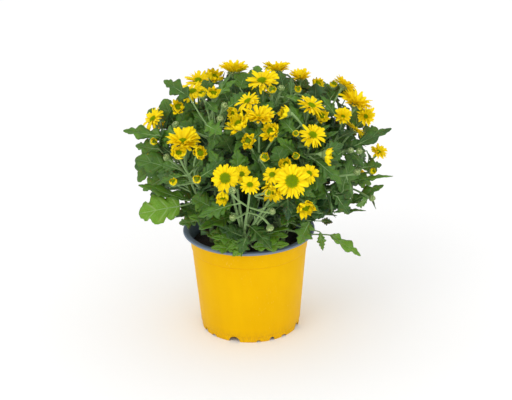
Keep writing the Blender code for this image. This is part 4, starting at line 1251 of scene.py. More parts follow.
def grown(name, base, tree, values):
    """A plain mesh made from a base mesh by a geometry tree with its named inputs filled in."""
    holder = add_object(name + "_base", base, bpy.context.scene.collection)
    modifier = holder.modifiers.new("growth", "NODES")
    modifier.node_group = tree
    for item in tree.interface.items_tree:
        if item.item_type == "SOCKET" and item.in_out == "INPUT" and item.name in values:
            modifier[item.identifier] = values[item.name]
    depsgraph = bpy.context.evaluated_depsgraph_get()
    mesh = bpy.data.meshes.new_from_object(
        holder.evaluated_get(depsgraph), preserve_all_data_layers=True, depsgraph=depsgraph)
    mesh.name = name
    bpy.data.objects.remove(holder)
    drop_empty_slots(mesh)
    return mesh


def drop_empty_slots(mesh):
    """Take out the slots with no material that a grown mesh starts with."""
    for index in reversed(range(len(mesh.materials))):
        if mesh.materials[index] is None:
            mesh.materials.pop(index=index)


def piece(name, mesh, slot, *nodes):
    """An object for a finished mesh that rides on the plant's one body."""
    obj = add_object(name, mesh, bpy.context.scene.collection)
    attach(obj, "root")
    if nodes:
        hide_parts(*nodes)
    return obj


Spot = namedtuple("Spot", "place turn size kind bend young", defaults=((0.0, 0.0, 0.0), 0.0))


def write(mesh, name, values, kind="FLOAT_VECTOR"):
    """Keep a value for each of a mesh's points as a named attribute."""
    data = mesh.attributes.new(name, kind, "POINT").data
    if kind == "FLOAT_VECTOR":
        data.foreach_set("vector", [number for value in values for number in value])
    else:
        data.foreach_set("value", values)


def points_mesh(name, spots):
    """Loose points with the attributes that the trees read."""
    mesh = mesh_from(name, [spot.place for spot in spots], [])
    for label in ("turn", "size", "bend"):
        write(mesh, label, [getattr(spot, label) for spot in spots])
    write(mesh, "kind", [spot.kind for spot in spots], "INT")
    write(mesh, "young", [spot.young for spot in spots], "FLOAT")
    return mesh


def paths_mesh(name, paths):
    """Poly-lines with the thickness of their stems."""
    mesh = bpy.data.meshes.new(name)
    points = []
    edges = []
    thick = []
    for path in paths:
        edges += [(len(points) + i, len(points) + i + 1) for i in range(len(path.points) - 1)]
        points += path.points
        thick += path.radii
    mesh.from_pydata(points, edges, [])
    write(mesh, "thick", thick, "FLOAT")
    return mesh


# Shapes that the trees repeat: one unit long along Y, one unit wide along X, upper side towards Z


def labelled(name, points, faces, labels):
    """A smooth mesh that keeps a label of three numbers for each of its points."""
    mesh = mesh_from(name, points, faces)
    write(mesh, "place", labels)
    return smooth(mesh)


def sheet_solid(name, points, labels, faces, rim, thickness):
    """A sheet made solid; rim is its outline, and both sides keep its labels."""
    count = len(points)
    half = Vector((0.0, 0.0, thickness / 2))
    solid = [point + half for point in points] + [point - half for point in points]
    skin = []
    for face in faces:
        skin += [face, tuple(index + count for index in reversed(face))]
    for here, after in zip(rim, rim[1:] + rim[:1]):
        skin.append((here, here + count, after + count, after))
    return labelled(name, solid, skin, labels + labels)


def closed_sheet(name, rows, columns, place, thickness):
    """A thin solid sheet: place gives its points from across, -1 to 1, and along, 0 to 1."""
    labels = [(2.0 * column / columns - 1.0, row / rows, 0.0)
              for row in range(rows + 1) for column in range(columns + 1)]
    points = [Vector(place(across, along)) for across, along, extra in labels]
    wide = columns + 1
    corners = [row * wide + column for row in range(rows) for column in range(columns)]
    faces = [(low, low + 1, low + 1 + wide, low + wide) for low in corners]
    rim = list(range(columns))
    rim += [row * wide + columns for row in range(rows)]
    rim += [rows * wide + column for column in range(columns, 0, -1)]
    rim += [row * wide for row in range(rows, 0, -1)]
    return sheet_solid(name, points, labels, faces, rim, thickness)


def smooth(mesh):
    mesh.polygons.foreach_set("use_smooth", [True] * len(mesh.polygons))
    return mesh


def lathe(name, profile, steps, climb=1.0):
    """A closed turned form from (radius, height) pairs; its label goes from 0 up to climb."""
    points = [(0.0, 0.0, profile[0][1])]
    labels = [(0.0, 0.0, 0.0)]
    for rank, (radius, height) in enumerate(profile[1:-1]):
        for step in range(steps):
            turn = 2 * math.pi * step / steps
            points.append((radius * math.cos(turn), radius * math.sin(turn), height))
            labels.append((0.0, climb * (rank + 1) / (len(profile) - 1), 0.0))
    points.append((0.0, 0.0, profile[-1][1]))
    labels.append((0.0, climb, 0.0))
    last = len(points) - 1
    faces = []
    for step in range(steps):
        after = (step + 1) % steps
        faces.append((0, 1 + after, 1 + step))
        for ring in range(len(profile) - 3):
            low = 1 + ring * steps
            high = low + steps
            faces.append((low + step, low + after, high + after, high + step))
        top = 1 + (len(profile) - 3) * steps
        faces.append((top + step, top + after, last))
    return labelled(name, points, faces, labels)


def ray_shape(name, droop, cup, twist, taper):
    """A petal: a narrow claw that widens, then narrows to a grooved tip with a notch."""
    def place(across, along):
        breadth = 0.48 + 0.52 * min(1.0, along / 0.34) ** 0.8
        if along > 0.5:
            breadth *= 1.0 - taper * ((along - 0.5) / 0.5) ** 1.7
        edge = abs(across)
        reach = along - 0.09 * along ** 6 * (edge ** 2 + 0.50 * max(0.0, 1.0 - 2.4 * edge))
        side = 0.5 * breadth * across
        groove = -0.016 * (1.0 - math.cos(2 * math.pi * across)) * 0.5 * min(1.0, 2.0 * along)
        channel = cup * edge ** 2 * (0.30 + 0.70 * (1.0 - along) ** 1.5)
        rise = groove + channel - droop * along ** 2.2 + twist * across * along ** 1.6
        return side, reach, rise
    return closed_sheet(name, 5, 4, place, 0.014)


def upright_ray(name, curl, ragged):
    """A young petal that stands up, bends over the disc and ends in a point."""
    def place(across, along):
        breadth = 0.66 + 0.34 * math.sin(math.pi * min(1.0, along * 0.95)) ** 0.7
        if along > 0.5:
            breadth *= 1.0 - 0.74 * ((along - 0.5) / 0.5) ** 1.5
        reach = along - 0.10 * along ** 6 * abs(across) ** 2 - ragged * across * along ** 4
        rise = 0.16 * across ** 2 + curl * along ** 2.4
        return 0.5 * breadth * across, reach, rise
    return closed_sheet(name, 4, 4, place, 0.03)


def bract_shape(name, curl):
    """A bract of the cup: a short blunt scale with a thin pale rim."""
    def place(across, along):
        breadth = (1.0 - along ** 3 * 0.72) * (0.8 + 0.2 * math.sin(math.pi * along))
        rise = 0.10 * across ** 2 + curl * along ** 2
        return 0.5 * breadth * across, along, rise
    return closed_sheet(name, 3, 2, place, 0.05)


def head_shapes():
    """The shapes of a head in the order of their kinds: five petals, then cup, crown and bracts."""
    open_cup = ((0.0, -0.03), (0.17, -0.03), (0.24, 0.0), (0.31, 0.07), (0.36, 0.17), (0.37, 0.24),
                (0.30, 0.29), (0.0, 0.33))
    deep_cup = ((0.0, -0.06), (0.24, -0.05), (0.40, 0.0), (0.58, 0.14), (0.70, 0.34), (0.72, 0.52),
                (0.60, 0.60), (0.0, 0.66))
    closed_cup = ((0.0, -0.04), (0.30, 0.0), (0.66, 0.18), (0.86, 0.44), (0.90, 0.72), (0.74, 1.02),
                  (0.40, 1.24), (0.0, 1.32))
    return (
        ray_shape("ray_flat", 0.10, 0.05, 0.0, 0.34),
        ray_shape("ray_drooping", 0.32, 0.09, 0.04, 0.42),
        ray_shape("ray_twisted", 0.14, 0.13, -0.08, 0.34),
        upright_ray("ray_upright", 0.14, 0.06),
        upright_ray("ray_folded", 0.40, -0.08),
        lathe("cup_open", open_cup, 14, 0.5),
        lathe("cup_deep", deep_cup, 14, 0.5),
        lathe("cup_closed", closed_cup, 12, 0.5),
        bract_shape("bract", 0.16),
        bract_shape("bract_folded", 0.55),
    )


RAY_FLAT, RAY_DROOPING, RAY_TWISTED, RAY_UPRIGHT, RAY_FOLDED = range(5)
CUP_OPEN, CUP_DEEP, CUP_CLOSED, BRACT, BRACT_FOLDED = range(5, 10)


def floret_shape():
    """A disc floret: a tiny tube that opens in five lobes."""
    profile = ((0.0, -0.9), (0.30, -0.8), (0.47, 0.10), (0.52, 0.42), (0.26, 0.56), (0.0, 0.40))
    return lathe("floret", profile, 5)


def shape_store(name, meshes):
    """A hidden collection of shapes, named so that they keep their order."""
    group = bpy.data.collections.new(name)
    for index, mesh in enumerate(meshes):
        group.objects.link(bpy.data.objects.new("%s_%02d" % (name, index), mesh))
    return group


# A leaf's left outline from the stalk to the tip, in halves of its width and parts of its length
LOBED_OUTLINE = (
    (0.07, 0.0), (0.22, 0.03), (0.48, 0.08), (0.50, 0.13), (0.74, 0.165), (0.80, 0.225),
    (0.60, 0.28), (0.37, 0.335), (0.46, 0.385), (0.70, 0.425), (0.78, 0.50), (1.0, 0.535),
    (0.98, 0.60), (0.76, 0.645), (0.54, 0.675), (0.35, 0.71), (0.48, 0.775), (0.46, 0.83),
    (0.29, 0.865), (0.26, 0.92), (0.10, 0.985))
LOBED_VEINS = (5, 12)
BROAD_OUTLINE = (
    (0.06, 0.0), (0.34, 0.0), (0.62, 0.045), (0.68, 0.10), (0.88, 0.14), (0.90, 0.22),
    (0.74, 0.285), (0.58, 0.335), (0.72, 0.37), (0.94, 0.41), (0.92, 0.48), (1.0, 0.53),
    (0.96, 0.61), (0.78, 0.665), (0.58, 0.70), (0.50, 0.74), (0.64, 0.79), (0.60, 0.86),
    (0.42, 0.895), (0.34, 0.95), (0.15, 0.985))
BROAD_VEINS = (5, 11)
NARROW_OUTLINE = (
    (0.08, 0.0), (0.22, 0.07), (0.46, 0.13), (0.35, 0.20), (0.44, 0.25), (0.78, 0.31),
    (0.66, 0.365), (0.56, 0.41), (0.98, 0.47), (0.84, 0.53), (0.44, 0.58), (0.66, 0.66),
    (0.52, 0.715), (0.31, 0.77), (0.38, 0.84), (0.17, 0.91), (0.08, 0.97))
NARROW_VEINS = (5, 8)
LEAF_KINDS = ((LOBED_OUTLINE, LOBED_VEINS), (BROAD_OUTLINE, BROAD_VEINS),
              (NARROW_OUTLINE, NARROW_VEINS))
LEAF_LOBED, LEAF_BROAD, LEAF_NARROW = range(3)
LEAF_VARIANTS = 3


def leaf_shape(outline, veins, seed, thickness):
    """A lobed leaf with puffed fields between its ribs; its labels mark its ribs for the finish."""
    rng = random.Random(seed)
    count = len(outline)
    points = []
    labels = []
    left, right = (
        [(x * rng.uniform(0.94, 1.03), y + rng.uniform(-0.008, 0.008)) for x, y in outline]
        for side in range(2))
    grid = {}

    def add(key, x, y, z, label):
        grid[key] = len(points)
        points.append(Vector((x, y, z)))
        labels.append(label)

    for rank in range(count):
        fan = rank / count
        base = 0.95 * fan ** 1.9
        add((0, rank, 0), 0.0, base, -0.006, (0.0, base, fan))
        nearest = min(abs(rank - vein) for vein in veins)
        puff = 0.016 * min(1.0, nearest / 2.0) + rng.uniform(-0.004, 0.004)
        for way, line in ((-1, left), (1, right)):
            x, y = line[rank]
            middle = base + (y - base) * 0.5
            add((way, rank, 1), way * 0.25 * x, middle, puff, (way * 0.5 * x, middle, fan))
            add((way, rank, 2), way * 0.5 * x, y, 0.0, (way * x, y, fan))
    add((0, count, 0), 0.0, 1.0, 0.0, (0.0, 1.0, 0.0))
    tip = grid[0, count, 0]
    faces = []
    for way in (1, -1):
        rows = [(grid[0, rank, 0], grid[way, rank, 1], grid[way, rank, 2]) for rank in range(count)]
        side = []
        for here, after in zip(rows, rows[1:]):
            side += [(here[0], here[1], after[1], after[0]), (here[1], here[2], after[2], after[1])]
        side += [(*rows[-1][:2], tip), (*rows[-1][1:], tip)]
        faces += side if way > 0 else [face[::-1] for face in side]
    rim = [grid[0, 0, 0], grid[1, 0, 1]] + [grid[1, rank, 2] for rank in range(count)]
    rim += [tip] + [grid[-1, rank, 2] for rank in reversed(range(count))] + [grid[-1, 0, 1]]
    return sheet_solid("leaf", points, labels, faces, rim, thickness)


def leaf_shapes():
    """The variants of each kind of leaf."""
    thickness = bpy.context.scene.chrysanthemum_leaves.blade_thickness
    return [leaf_shape(outline, veins, SEED + 7 * kind + variant, thickness)
            for kind, (outline, veins) in enumerate(LEAF_KINDS) for variant in range(LEAF_VARIANTS)]


def crumb_shapes():
    """Three rough crumbs of soil."""
    shapes = []
    for index in range(3):
        rng = random.Random(SEED + 20 + index)
        shape = bmesh.new()
        bmesh.ops.create_icosphere(shape, subdivisions=1, radius=0.5)
        for vertex in shape.verts:
            vertex.co *= rng.uniform(0.62, 1.15)
            vertex.co.z *= 0.75
        shapes.append(bmesh_mesh("crumb_%d" % index, shape))
    return shapes


# Finishes

FIBRE_COLOUR = (0.40, 0.52, 0.28)
SCUFF_COLOUR = (0.97, 0.68, 0.18)
DUST_COLOUR = (0.30, 0.15, 0.03)
# Painted shade along the pot's shoulder crease
SHOULDER_SHADE_COLOUR = (0.70, 0.33, 0.0)
PEAT_COLOUR = (0.055, 0.032, 0.022)
PEAT_FIBRE_COLOUR = (0.12, 0.075, 0.05)

# Where a leaf's side ribs start, as shares of its fan
SIDE_RIBS = (0.24, 0.54, 0.77)


def finish_tree(name, roughness, **constants):
    """A new material, its tree and its shader, with what is the same all over set on the shader."""
    material = bpy.data.materials.new(name)
    material.use_nodes = True
    tree = material.node_tree
    shader = tree.nodes["Principled BSDF"]
    shader.inputs["Roughness"].default_value = roughness
    for label, value in constants.items():
        shader.inputs[label.replace("_", " ").title().replace("Ior", "IOR")].default_value = value
    return material, tree, shader


def rgba(colour_value):
    return (*colour_value, 1.0)


def shade(share, low, high):
    """A colour between two others; each is a colour value or a socket."""
    node = put(share.id_data, "ShaderNodeMix", data_type="RGBA", clamp_factor=True)
    for socket, value in zip(live(node.inputs), (share, low, high)):
        fill(socket, value if isinstance(value, bpy.types.NodeSocket) else rgba(value))
    return live(node.outputs)[0]


def seen(tree, name, output="Vector"):
    return put(tree, "ShaderNodeAttribute", attribute_name=name).outputs[output]


def object_place(tree):
    return tree.nodes.new("ShaderNodeTexCoord").outputs["Object"]


def speckle(tree, scale, detail=3.0, roughness=0.55, vector=None):
    place = vector or object_place(tree)
    node = put(tree, "ShaderNodeTexNoise", {
        "Vector": place, "Scale": scale, "Detail": detail, "Roughness": roughness})
    return node.outputs[0]


def ramp(value, low, high, start=0.0, end=1.0):
    """A value spread from one range to another, and kept within it."""
    inputs = {"Value": value, "From Min": low, "From Max": high, "To Min": start, "To Max": end}
    return put(value.id_data, "ShaderNodeMapRange", inputs).outputs[0]


def relief(shader, height, distance, strength=1.0):
    inputs = {"Height": height, "Distance": distance, "Strength": strength}
    fill(shader.inputs["Normal"], put(height.id_data, "ShaderNodeBump", inputs).outputs[0])


def dye(shader, colour_socket, roughness):
    fill(shader.inputs["Base Color"], colour_socket)
    fill(shader.inputs["Roughness"], roughness)


@lru_cache
def ray_finish(young):
    """Petal yellow, warmer at the base, with painted shade in its grooves and fine streaks along it."""
    settings = bpy.context.scene.chrysanthemum_flowers
    material, tree, shader = finish_tree(
        "young_petal" if young else "petal", 0.5, subsurface_weight=0.12,
        subsurface_scale=0.0015, specular_ior_level=0.10)
    shader.inputs["Subsurface Radius"].default_value = (1.0, 0.75, 0.08)
    across, along = separate(seen(tree, "place"))[:2]
    tint = seen(tree, "tint", "Fac")
    tip = settings.young_ray_colour if young else settings.ray_colour
    body = shade(ramp(along, 0.0, 0.15 if young else 0.34), settings.ray_base_colour, tip)
    waves = calc("COSINE", times(across, 2 * math.pi))
    streaks = speckle(tree, 2.2, roughness=0.5,
                      vector=combine(times(across, 6.0), along, times(tint, 20.0)))
    # Painted shade: the petal's grooves are darkened towards the base colour
    groove = times(minus(1.0, waves), 0.5)
    groove = times(groove, ramp(along, 0.95, 0.1, 0.05, 0.26))
    body = shade(groove, body, settings.ray_base_colour)
    body = shade(ramp(streaks, 0.35, 0.75, 0.0, 0.16), body, settings.ray_base_colour)
    warm = ramp(tint, 0.6, 1.0, 0.0, 0.22)
    body = shade(warm, body, settings.ray_base_colour)
    dye(shader, body, ramp(streaks, 0.2, 0.8, 0.42, 0.62))
    relief(shader, times_plus(waves, 0.7, streaks), 0.00012, 0.6)
    return material


@lru_cache
def disc_finish():
    """Disc florets: green in the middle and yellower towards the rim, with a painted highlight on the
    top of each floret.
    """
    settings = bpy.context.scene.chrysanthemum_flowers
    material, tree, shader = finish_tree("disc_florets", 0.6, subsurface_weight=0.1,
                                         subsurface_scale=0.001, specular_ior_level=0.04)
    reach = seen(tree, "reach", "Fac")
    height = separate(seen(tree, "place"))[1]
    tint = seen(tree, "tint", "Fac")
    body = shade(ramp(times_plus(tint, 0.25, reach), 0.55, 1.15), settings.disc_colour,
                 settings.disc_rim_colour)
    # Painted highlight: the upper part of each floret is lightened towards the rim colour
    painted_lit_tips = shade(ramp(height, 0.45, 1.0, 0.0, 0.55), body, settings.disc_rim_colour)
    dye(shader, painted_lit_tips, ramp(tint, 0.0, 1.0, 0.45, 0.65))
    relief(shader, speckle(tree, 2600.0), 0.00008, 0.5)
    return material


@lru_cache
def cup_finish():
    """Green cups and bracts, with paler rims and a fine down."""
    settings = bpy.context.scene.chrysanthemum_flowers
    material, tree, shader = finish_tree("green_cup", 0.6, sheen_weight=0.08, sheen_roughness=0.4,
                                         specular_ior_level=0.2)
    across, along = separate(seen(tree, "place"))[:2]
    edge = ramp(calc("ABSOLUTE", across), 0.6, 0.95)
    edge = calc("MAXIMUM", edge, ramp(along, 0.72, 0.95))
    cloud = speckle(tree, 420.0)
    body = shade(ramp(cloud, 0.3, 0.7, 0.0, 0.25), settings.cup_colour, settings.bract_edge_colour)
    body = shade(times(edge, 0.85), body, settings.bract_edge_colour)
    dye(shader, body, ramp(cloud, 0.3, 0.7, 0.5, 0.72))
    relief(shader, speckle(tree, 1800.0), 0.00010, 0.6)
    return material


@lru_cache
def blade_finish():
    """Leaf green with paler ribs, a greyer underside, puffed fields, and painted shade on the leaves
    deep in the bush.
    """
    settings = bpy.context.scene.chrysanthemum_leaves
    material, tree, shader = finish_tree("leaf_blade", 0.5, subsurface_weight=0.08,
                                         subsurface_scale=0.002, specular_ior_level=0.32)
    across, fan = separate(seen(tree, "place"))[::2]
    away = calc("ABSOLUTE", across)
    tint = seen(tree, "tint", "Fac")
    young = seen(tree, "young", "Fac")
    normal = tree.nodes.new("ShaderNodeNewGeometry").outputs["Normal"]
    below = ramp(vector_calc("DOT_PRODUCT", normal, seen(tree, "upright")), 0.15, -0.15)
    ribs = ramp(away, 0.035, 0.012)
    for share in SIDE_RIBS:
        off = calc("ABSOLUTE", minus(fan, share))
        near = ramp(over(off, plus(1.0, away)), 0.022, 0.006)
        near = times(near, ramp(away, 0.95, 0.35, 0.0, 0.75))
        ribs = calc("MAXIMUM", ribs, near)
    net = put(tree, "ShaderNodeTexVoronoi", {"Vector": object_place(tree), "Scale": 520.0},
              feature="DISTANCE_TO_EDGE").outputs[0]
    fine = ramp(net, 0.10, 0.0, 0.0, 0.30)
    cloud = speckle(tree, 95.0)
    dark = shade(ramp(tint, 0.0, 0.45), settings.old_colour, settings.blade_colour)
    lush = shade(ramp(times_plus(tint, 0.45, cloud), 0.45, 1.05, 0.0, 0.65), dark,
                 settings.young_colour)
    upper = shade(young, lush, settings.young_colour)
    vein = shade(young, settings.vein_colour, settings.young_vein_colour)
    veined = calc("MAXIMUM", ribs, fine)
    upper = shade(veined, upper, vein)
    lower = shade(veined, settings.under_colour, settings.vein_colour)
    # Painted shade: leaves deep in the bush, marked by a negative young value, are darkened towards the
    # shade colour
    deep = ramp(young, 0.0, -1.0, 0.0, 0.85)
    dye(shader, shade(deep, shade(below, upper, lower), settings.painted_shade_colour),
        times_plus(below, 0.18, ramp(cloud, 0.2, 0.8, 0.36, 0.54)))
    puffs = minus(calc("MINIMUM", net, 0.22), times(ribs, 0.4))
    relief(shader, puffs, 0.0009, 0.7)
    return material


@lru_cache
def stem_finish():
    """Stems: green above, browner at the soil, with fine ribs and a pale down."""
    settings = bpy.context.scene.chrysanthemum_stems
    material, tree, shader = finish_tree("stem", 0.55, sheen_weight=0.12, sheen_roughness=0.4,
                                         specular_ior_level=0.25)
    place = object_place(tree)
    height = separate(place)[2]
    fibre = speckle(tree, 1400.0, vector=vector_calc("MULTIPLY", place, (1.0, 1.0, 0.16)))
    cloud = speckle(tree, 130.0)
    aged = ramp(times_plus(cloud, 0.02, height), SOIL_LEVEL + 8.0 * MM, SOIL_LEVEL + 34.0 * MM)
    body = shade(aged, settings.foot_colour, settings.stem_colour)
    body = shade(ramp(fibre, 0.4, 0.7, 0.0, 0.4), body, FIBRE_COLOUR)
    dye(shader, body, ramp(cloud, 0.2, 0.8, 0.45, 0.65))
    relief(shader, fibre, 0.00018, 0.7)
    return material


@lru_cache
def pot_finish():
    """Yellow thermoformed plastic with scuffs, draw lines and a painted shade line along the shoulder;
    the lip and inside are blue-grey.
    """
    settings = bpy.context.scene.chrysanthemum_pot
    material, tree, shader = finish_tree("pot_plastic_finish", 0.45, specular_ior_level=0.04)
    place = object_place(tree)
    x, y, z = separate(place)
    reach = calc("SQRT", plus(times(x, x), times(y, y)))
    outside = times_plus(minus(z, STEP_HEIGHT), TAPER, STEP_RADIUS - 0.2 * MM)
    walled = calc("GREATER_THAN", reach, outside)
    edge = times_plus(speckle(tree, 60.0), 0.3 * MM, POT_HEIGHT - 3.1 * MM)
    walled = times(walled, calc("LESS_THAN", z, edge))
    under = calc("LESS_THAN", z, 9.0 * MM)
    yellow = calc("MAXIMUM", walled, under)
    drawn = speckle(tree, 160.0, detail=4.0, roughness=0.5,
                    vector=vector_calc("MULTIPLY", place, (1.0, 1.0, 0.05)))
    cloud = speckle(tree, 22.0)
    scuff = speckle(tree, 700.0, detail=6.0, roughness=0.7,
                    vector=vector_calc("MULTIPLY", place, (1.0, 1.0, 0.35)))
    worn = times(ramp(scuff, 0.60, 0.72), ramp(cloud, 0.45, 0.7, 0.0, 0.5))
    dust = times(ramp(z, 14.0 * MM, 1.0 * MM, 0.0, 0.35), ramp(scuff, 0.40, 0.60))
    deeper = tuple(value * share for value, share in zip(settings.wall_colour, (0.90, 0.82, 1.0)))
    wall = shade(ramp(times_plus(drawn, 0.4, cloud), 0.5, 0.9, 0.0, 0.5), settings.wall_colour,
                 deeper)
    wall = shade(worn, wall, SCUFF_COLOUR)
    wall = shade(dust, wall, DUST_COLOUR)
    # Painted shade: a darker orange line along the shoulder's crease
    groove = calc("ABSOLUTE", minus(z, SHOULDER_HEIGHT))
    wall = shade(ramp(groove, 1.2 * MM, 0.2 * MM, 0.0, 0.28), wall, SHOULDER_SHADE_COLOUR)
    grey = tuple(value * 1.35 for value in settings.lip_colour)
    lip = shade(ramp(scuff, 0.35, 0.7, 0.0, 0.6), settings.lip_colour, grey)
    dye(shader, shade(yellow, lip, wall),
        times_plus(worn, 0.25, ramp(drawn, 0.2, 0.8, 0.36, 0.50)))
    crease = calc("SINE", times_plus(calc("ARCTAN2", y, x), 3.0, 1.4))
    crease = times_plus(crease, 2.0 * MM, POT_HEIGHT - 9.0 * MM)
    crease = ramp(calc("ABSOLUTE", minus(z, crease)), 0.0, 2.2 * MM)
    height = plus(times(drawn, 0.5), times(crease, 0.55))
    relief(shader, times_plus(scuff, 0.15, height), 0.0005, 0.5)
    return material


@lru_cache
def soil_finish():
    """Dark damp peat with browner fibres."""
    settings = bpy.context.scene.chrysanthemum_soil
    material, tree, shader = finish_tree("damp_peat", 0.9)
    coarse = speckle(tree, 260.0, detail=8.0, roughness=0.7)
    fine = speckle(tree, 1500.0, detail=4.0)
    body = shade(ramp(coarse, 0.45, 0.75), settings.soil_colour, PEAT_COLOUR)
    body = shade(ramp(fine, 0.66, 0.74, 0.0, 0.7), body, PEAT_FIBRE_COLOUR)
    dye(shader, body, ramp(fine, 0.3, 0.7, 0.75, 0.98))
    relief(shader, times_plus(fine, 0.4, coarse), 0.0022, 1.0)
    return material


# Layout of the whole plant


@lru_cache
def whole_plant():
    """Heads, plants, the solids' leaves and the inner leaves that fill the bush."""
    solids = (frame["nodes"]["pot"], frame["nodes"]["soil"])
    group = bpy.context.scene.collection
    heads = place_heads()
    plants = grow_stems(heads, Thicket(heads, solids, group))
    stems = [stem_meshes(plant, group) for plant in plants]
    bed = Bed(solids, heads, stems)
    leaves = place_leaves(plants, bed)
    check_blooms(heads)
    return heads, plants, leaves, inner_leaves(heads, plants, bed)


def check_blooms(heads):
    """Stop where a bloom of this layout isn't where its solid stands."""
    blooms = [head for head in heads if head.kind == "open"]
    for number, head in enumerate(blooms, 1):
        low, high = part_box("bloom_%02d" % number)
        for axis in range(3):
            values = [point[axis] for point in head.points]
            if max(abs(min(values) - low[axis]), abs(max(values) - high[axis])) > 0.2 * MM:
                raise RuntimeError("bloom %d isn't where its solid is" % number)


# Parts of the photo that no inner leaf stands in, nearer than a depth in mm: left, top, right, low
CLEAR_VIEWS = (
    (238, 196, 256, 238, 40), (186, 232, 212, 258, 0), (296, 226, 318, 240, 0),
    (134, 192, 184, 230, 24), (182, 128, 196, 152, 40))


def in_the_way(leaf, heads):
    """Whether an inner leaf hangs over the lip, hides a head or what the photo shows bare."""
    for share in (0.0, 0.25, 0.5, 0.75, 1.0):
        for side in (-0.45, 0.0, 0.45):
            arched = -leaf.arch * leaf.length * share ** 2
            point = leaf.frame @ Vector((side * leaf.width, share * leaf.length, arched))
            if point.z < POT_HEIGHT + 5.0 * MM and math.hypot(point.x, point.y) > 50.0 * MM:
                return True
            px, py, depth, scale = in_picture(point)
            if any(left < px < over and top < py < low and -point.y > near * MM
                   for left, top, over, low, near in CLEAR_VIEWS):
                return True
            for spot_x, spot_y, spot_depth, reach in heads:
                if depth < spot_depth and math.hypot(px - spot_x, py - spot_y) < reach:
                    return True
    return False


def heads_in_view(heads):
    """Pixel, depth and radius in pixels of every head on the viewer's side."""
    views = []
    for head in heads:
        px, py, depth, scale = in_picture(head.place + head.normal * 0.3 * head.size * MM)
        if head.place.y < 25.0 * MM:
            views.append((px, py, depth, 0.55 * head.size * MM * scale))
    return views


# Leaves that close the bush where the photo shows it dense
FILLING_LEAVES = [ShownLeaf(*row) for row in (
    ((285, 94), (280, 72), (-16, -24), 24, 0, 30), ((190, 112), (178, 96), (-10, -16), 20, -20, 30),
    ((196, 132), (180, 122), (20, 16), 20, -20, 35), ((200, 196), (180, 190), (60, 56), 22, -15, 35),
    ((206, 212), (180, 206), (62, 60), 22, -15, 35), ((356, 128), (358, 106), (-14, -20), 22, 20, 25),
    ((345, 100), (350, 82), (-20, -26), 20, 20, 25), ((164, 178), (142, 190), (36, 34), 18, -25, 40),
    ((166, 170), (146, 174), (20, 16), 18, -25, 40), ((156, 164), (134, 166), (10, 6), 18, -30, 35),
    ((164, 124), (148, 110), (-20, -26), 20, -30, 30), ((336, 196), (350, 214), (44, 46), 20, 25, 30),
    ((330, 190), (352, 196), (40, 36), 20, 25, 30), ((362, 168), (382, 164), (8, 2), 16, 20, 45),
    ((352, 176), (372, 184), (14, 10), 18, 20, 40), ((360, 140), (378, 128), (-6, -14), 18, 25, 40),
    ((330, 100), (340, 84), (-24, -34), 22, 10, 25), ((300, 96), (306, 78), (-24, -34), 22, 10, 25),
    ((212, 96), (203, 80), (-24, -30), 20, -10, 25), ((224, 116), (214, 97), (-4, -10), 20, -10, 30),
    ((230, 104), (221, 86), (-20, -26), 20, -10, 30), ((197, 120), (186, 102), (0, -6), 20, -15, 30),
    ((232, 153), (222, 134), (40, 34), 24, -5, 30), ((172, 154), (157, 143), (10, 4), 20, -25, 35),
    ((301, 112), (290, 95), (-10, -16), 22, 0, 30), ((336, 152), (350, 137), (10, 4), 22, 20, 35),
    ((346, 168), (356, 152), (10, 4), 20, 25, 35), ((240, 88), (246, 72), (-24, -34), 20, 0, 25),
    ((240, 240), (212, 236), (56, 60), 15, -10, 50), ((242, 236), (220, 227), (54, 58), 15, -10, 40),
    ((246, 238), (240, 254), (62, 68), 15, 0, 40), ((244, 240), (226, 249), (60, 64), 13, -5, 45),
    ((252, 234), (272, 230), (54, 58), 14, 10, 45), ((262, 236), (288, 235), (50, 54), 15, 10, 50),
    ((236, 248), (211, 247), (56, 58), 16, -10, 55), ((232, 246), (214, 240), (48, 50), 16, -10, 50),
    ((230, 240), (217, 250), (46, 54), 13, -10, 45), ((226, 236), (210, 232), (44, 46), 16, -15, 45),
    ((244, 248), (232, 256), (64, 68), 13, -5, 45), ((270, 240), (282, 248), (52, 58), 12, 10, 45),
    ((232, 128), (222, 108), (-30, -36), 22, -5, 25), ((276, 130), (270, 110), (-34, -40), 22, 5, 25),
    ((224, 150), (217, 130), (-10, -14), 22, -10, 30), ((238, 152), (230, 136), (-24, -28), 20, -5, 30),
    ((206, 146), (196, 130), (-6, -10), 20, -15, 30), ((258, 100), (251, 80), (-40, -50), 22, 0, 25),
    ((190, 128), (178, 114), (-10, -14), 20, -20, 30), ((334, 136), (330, 118), (-30, -36), 20, 15, 25))]


# Depths in mm that are tried for a filling leaf, and the photo's row below which it may hide a head
DEPTH_SHIFTS = (0, -5, 5, -10, -16, 10, -24, 16, -32, -42)
LOW_ROW = 225


def filling_leaf(shown, plants, bed, views):
    """A leaf to fill the bush, at the first depth where it stands clear, with its plant's number."""
    for shift in DEPTH_SHIFTS:
        depth = (shown.depth[0] + shift, shown.depth[1] + shift)
        leaf, index = shown_leaf(shown._replace(depth=depth), plants)
        low = shown.base[1] > LOW_ROW
        if bed.clear(leaf, index, False) and (low or not in_the_way(leaf, views)):
            return leaf, index
    return None, 0


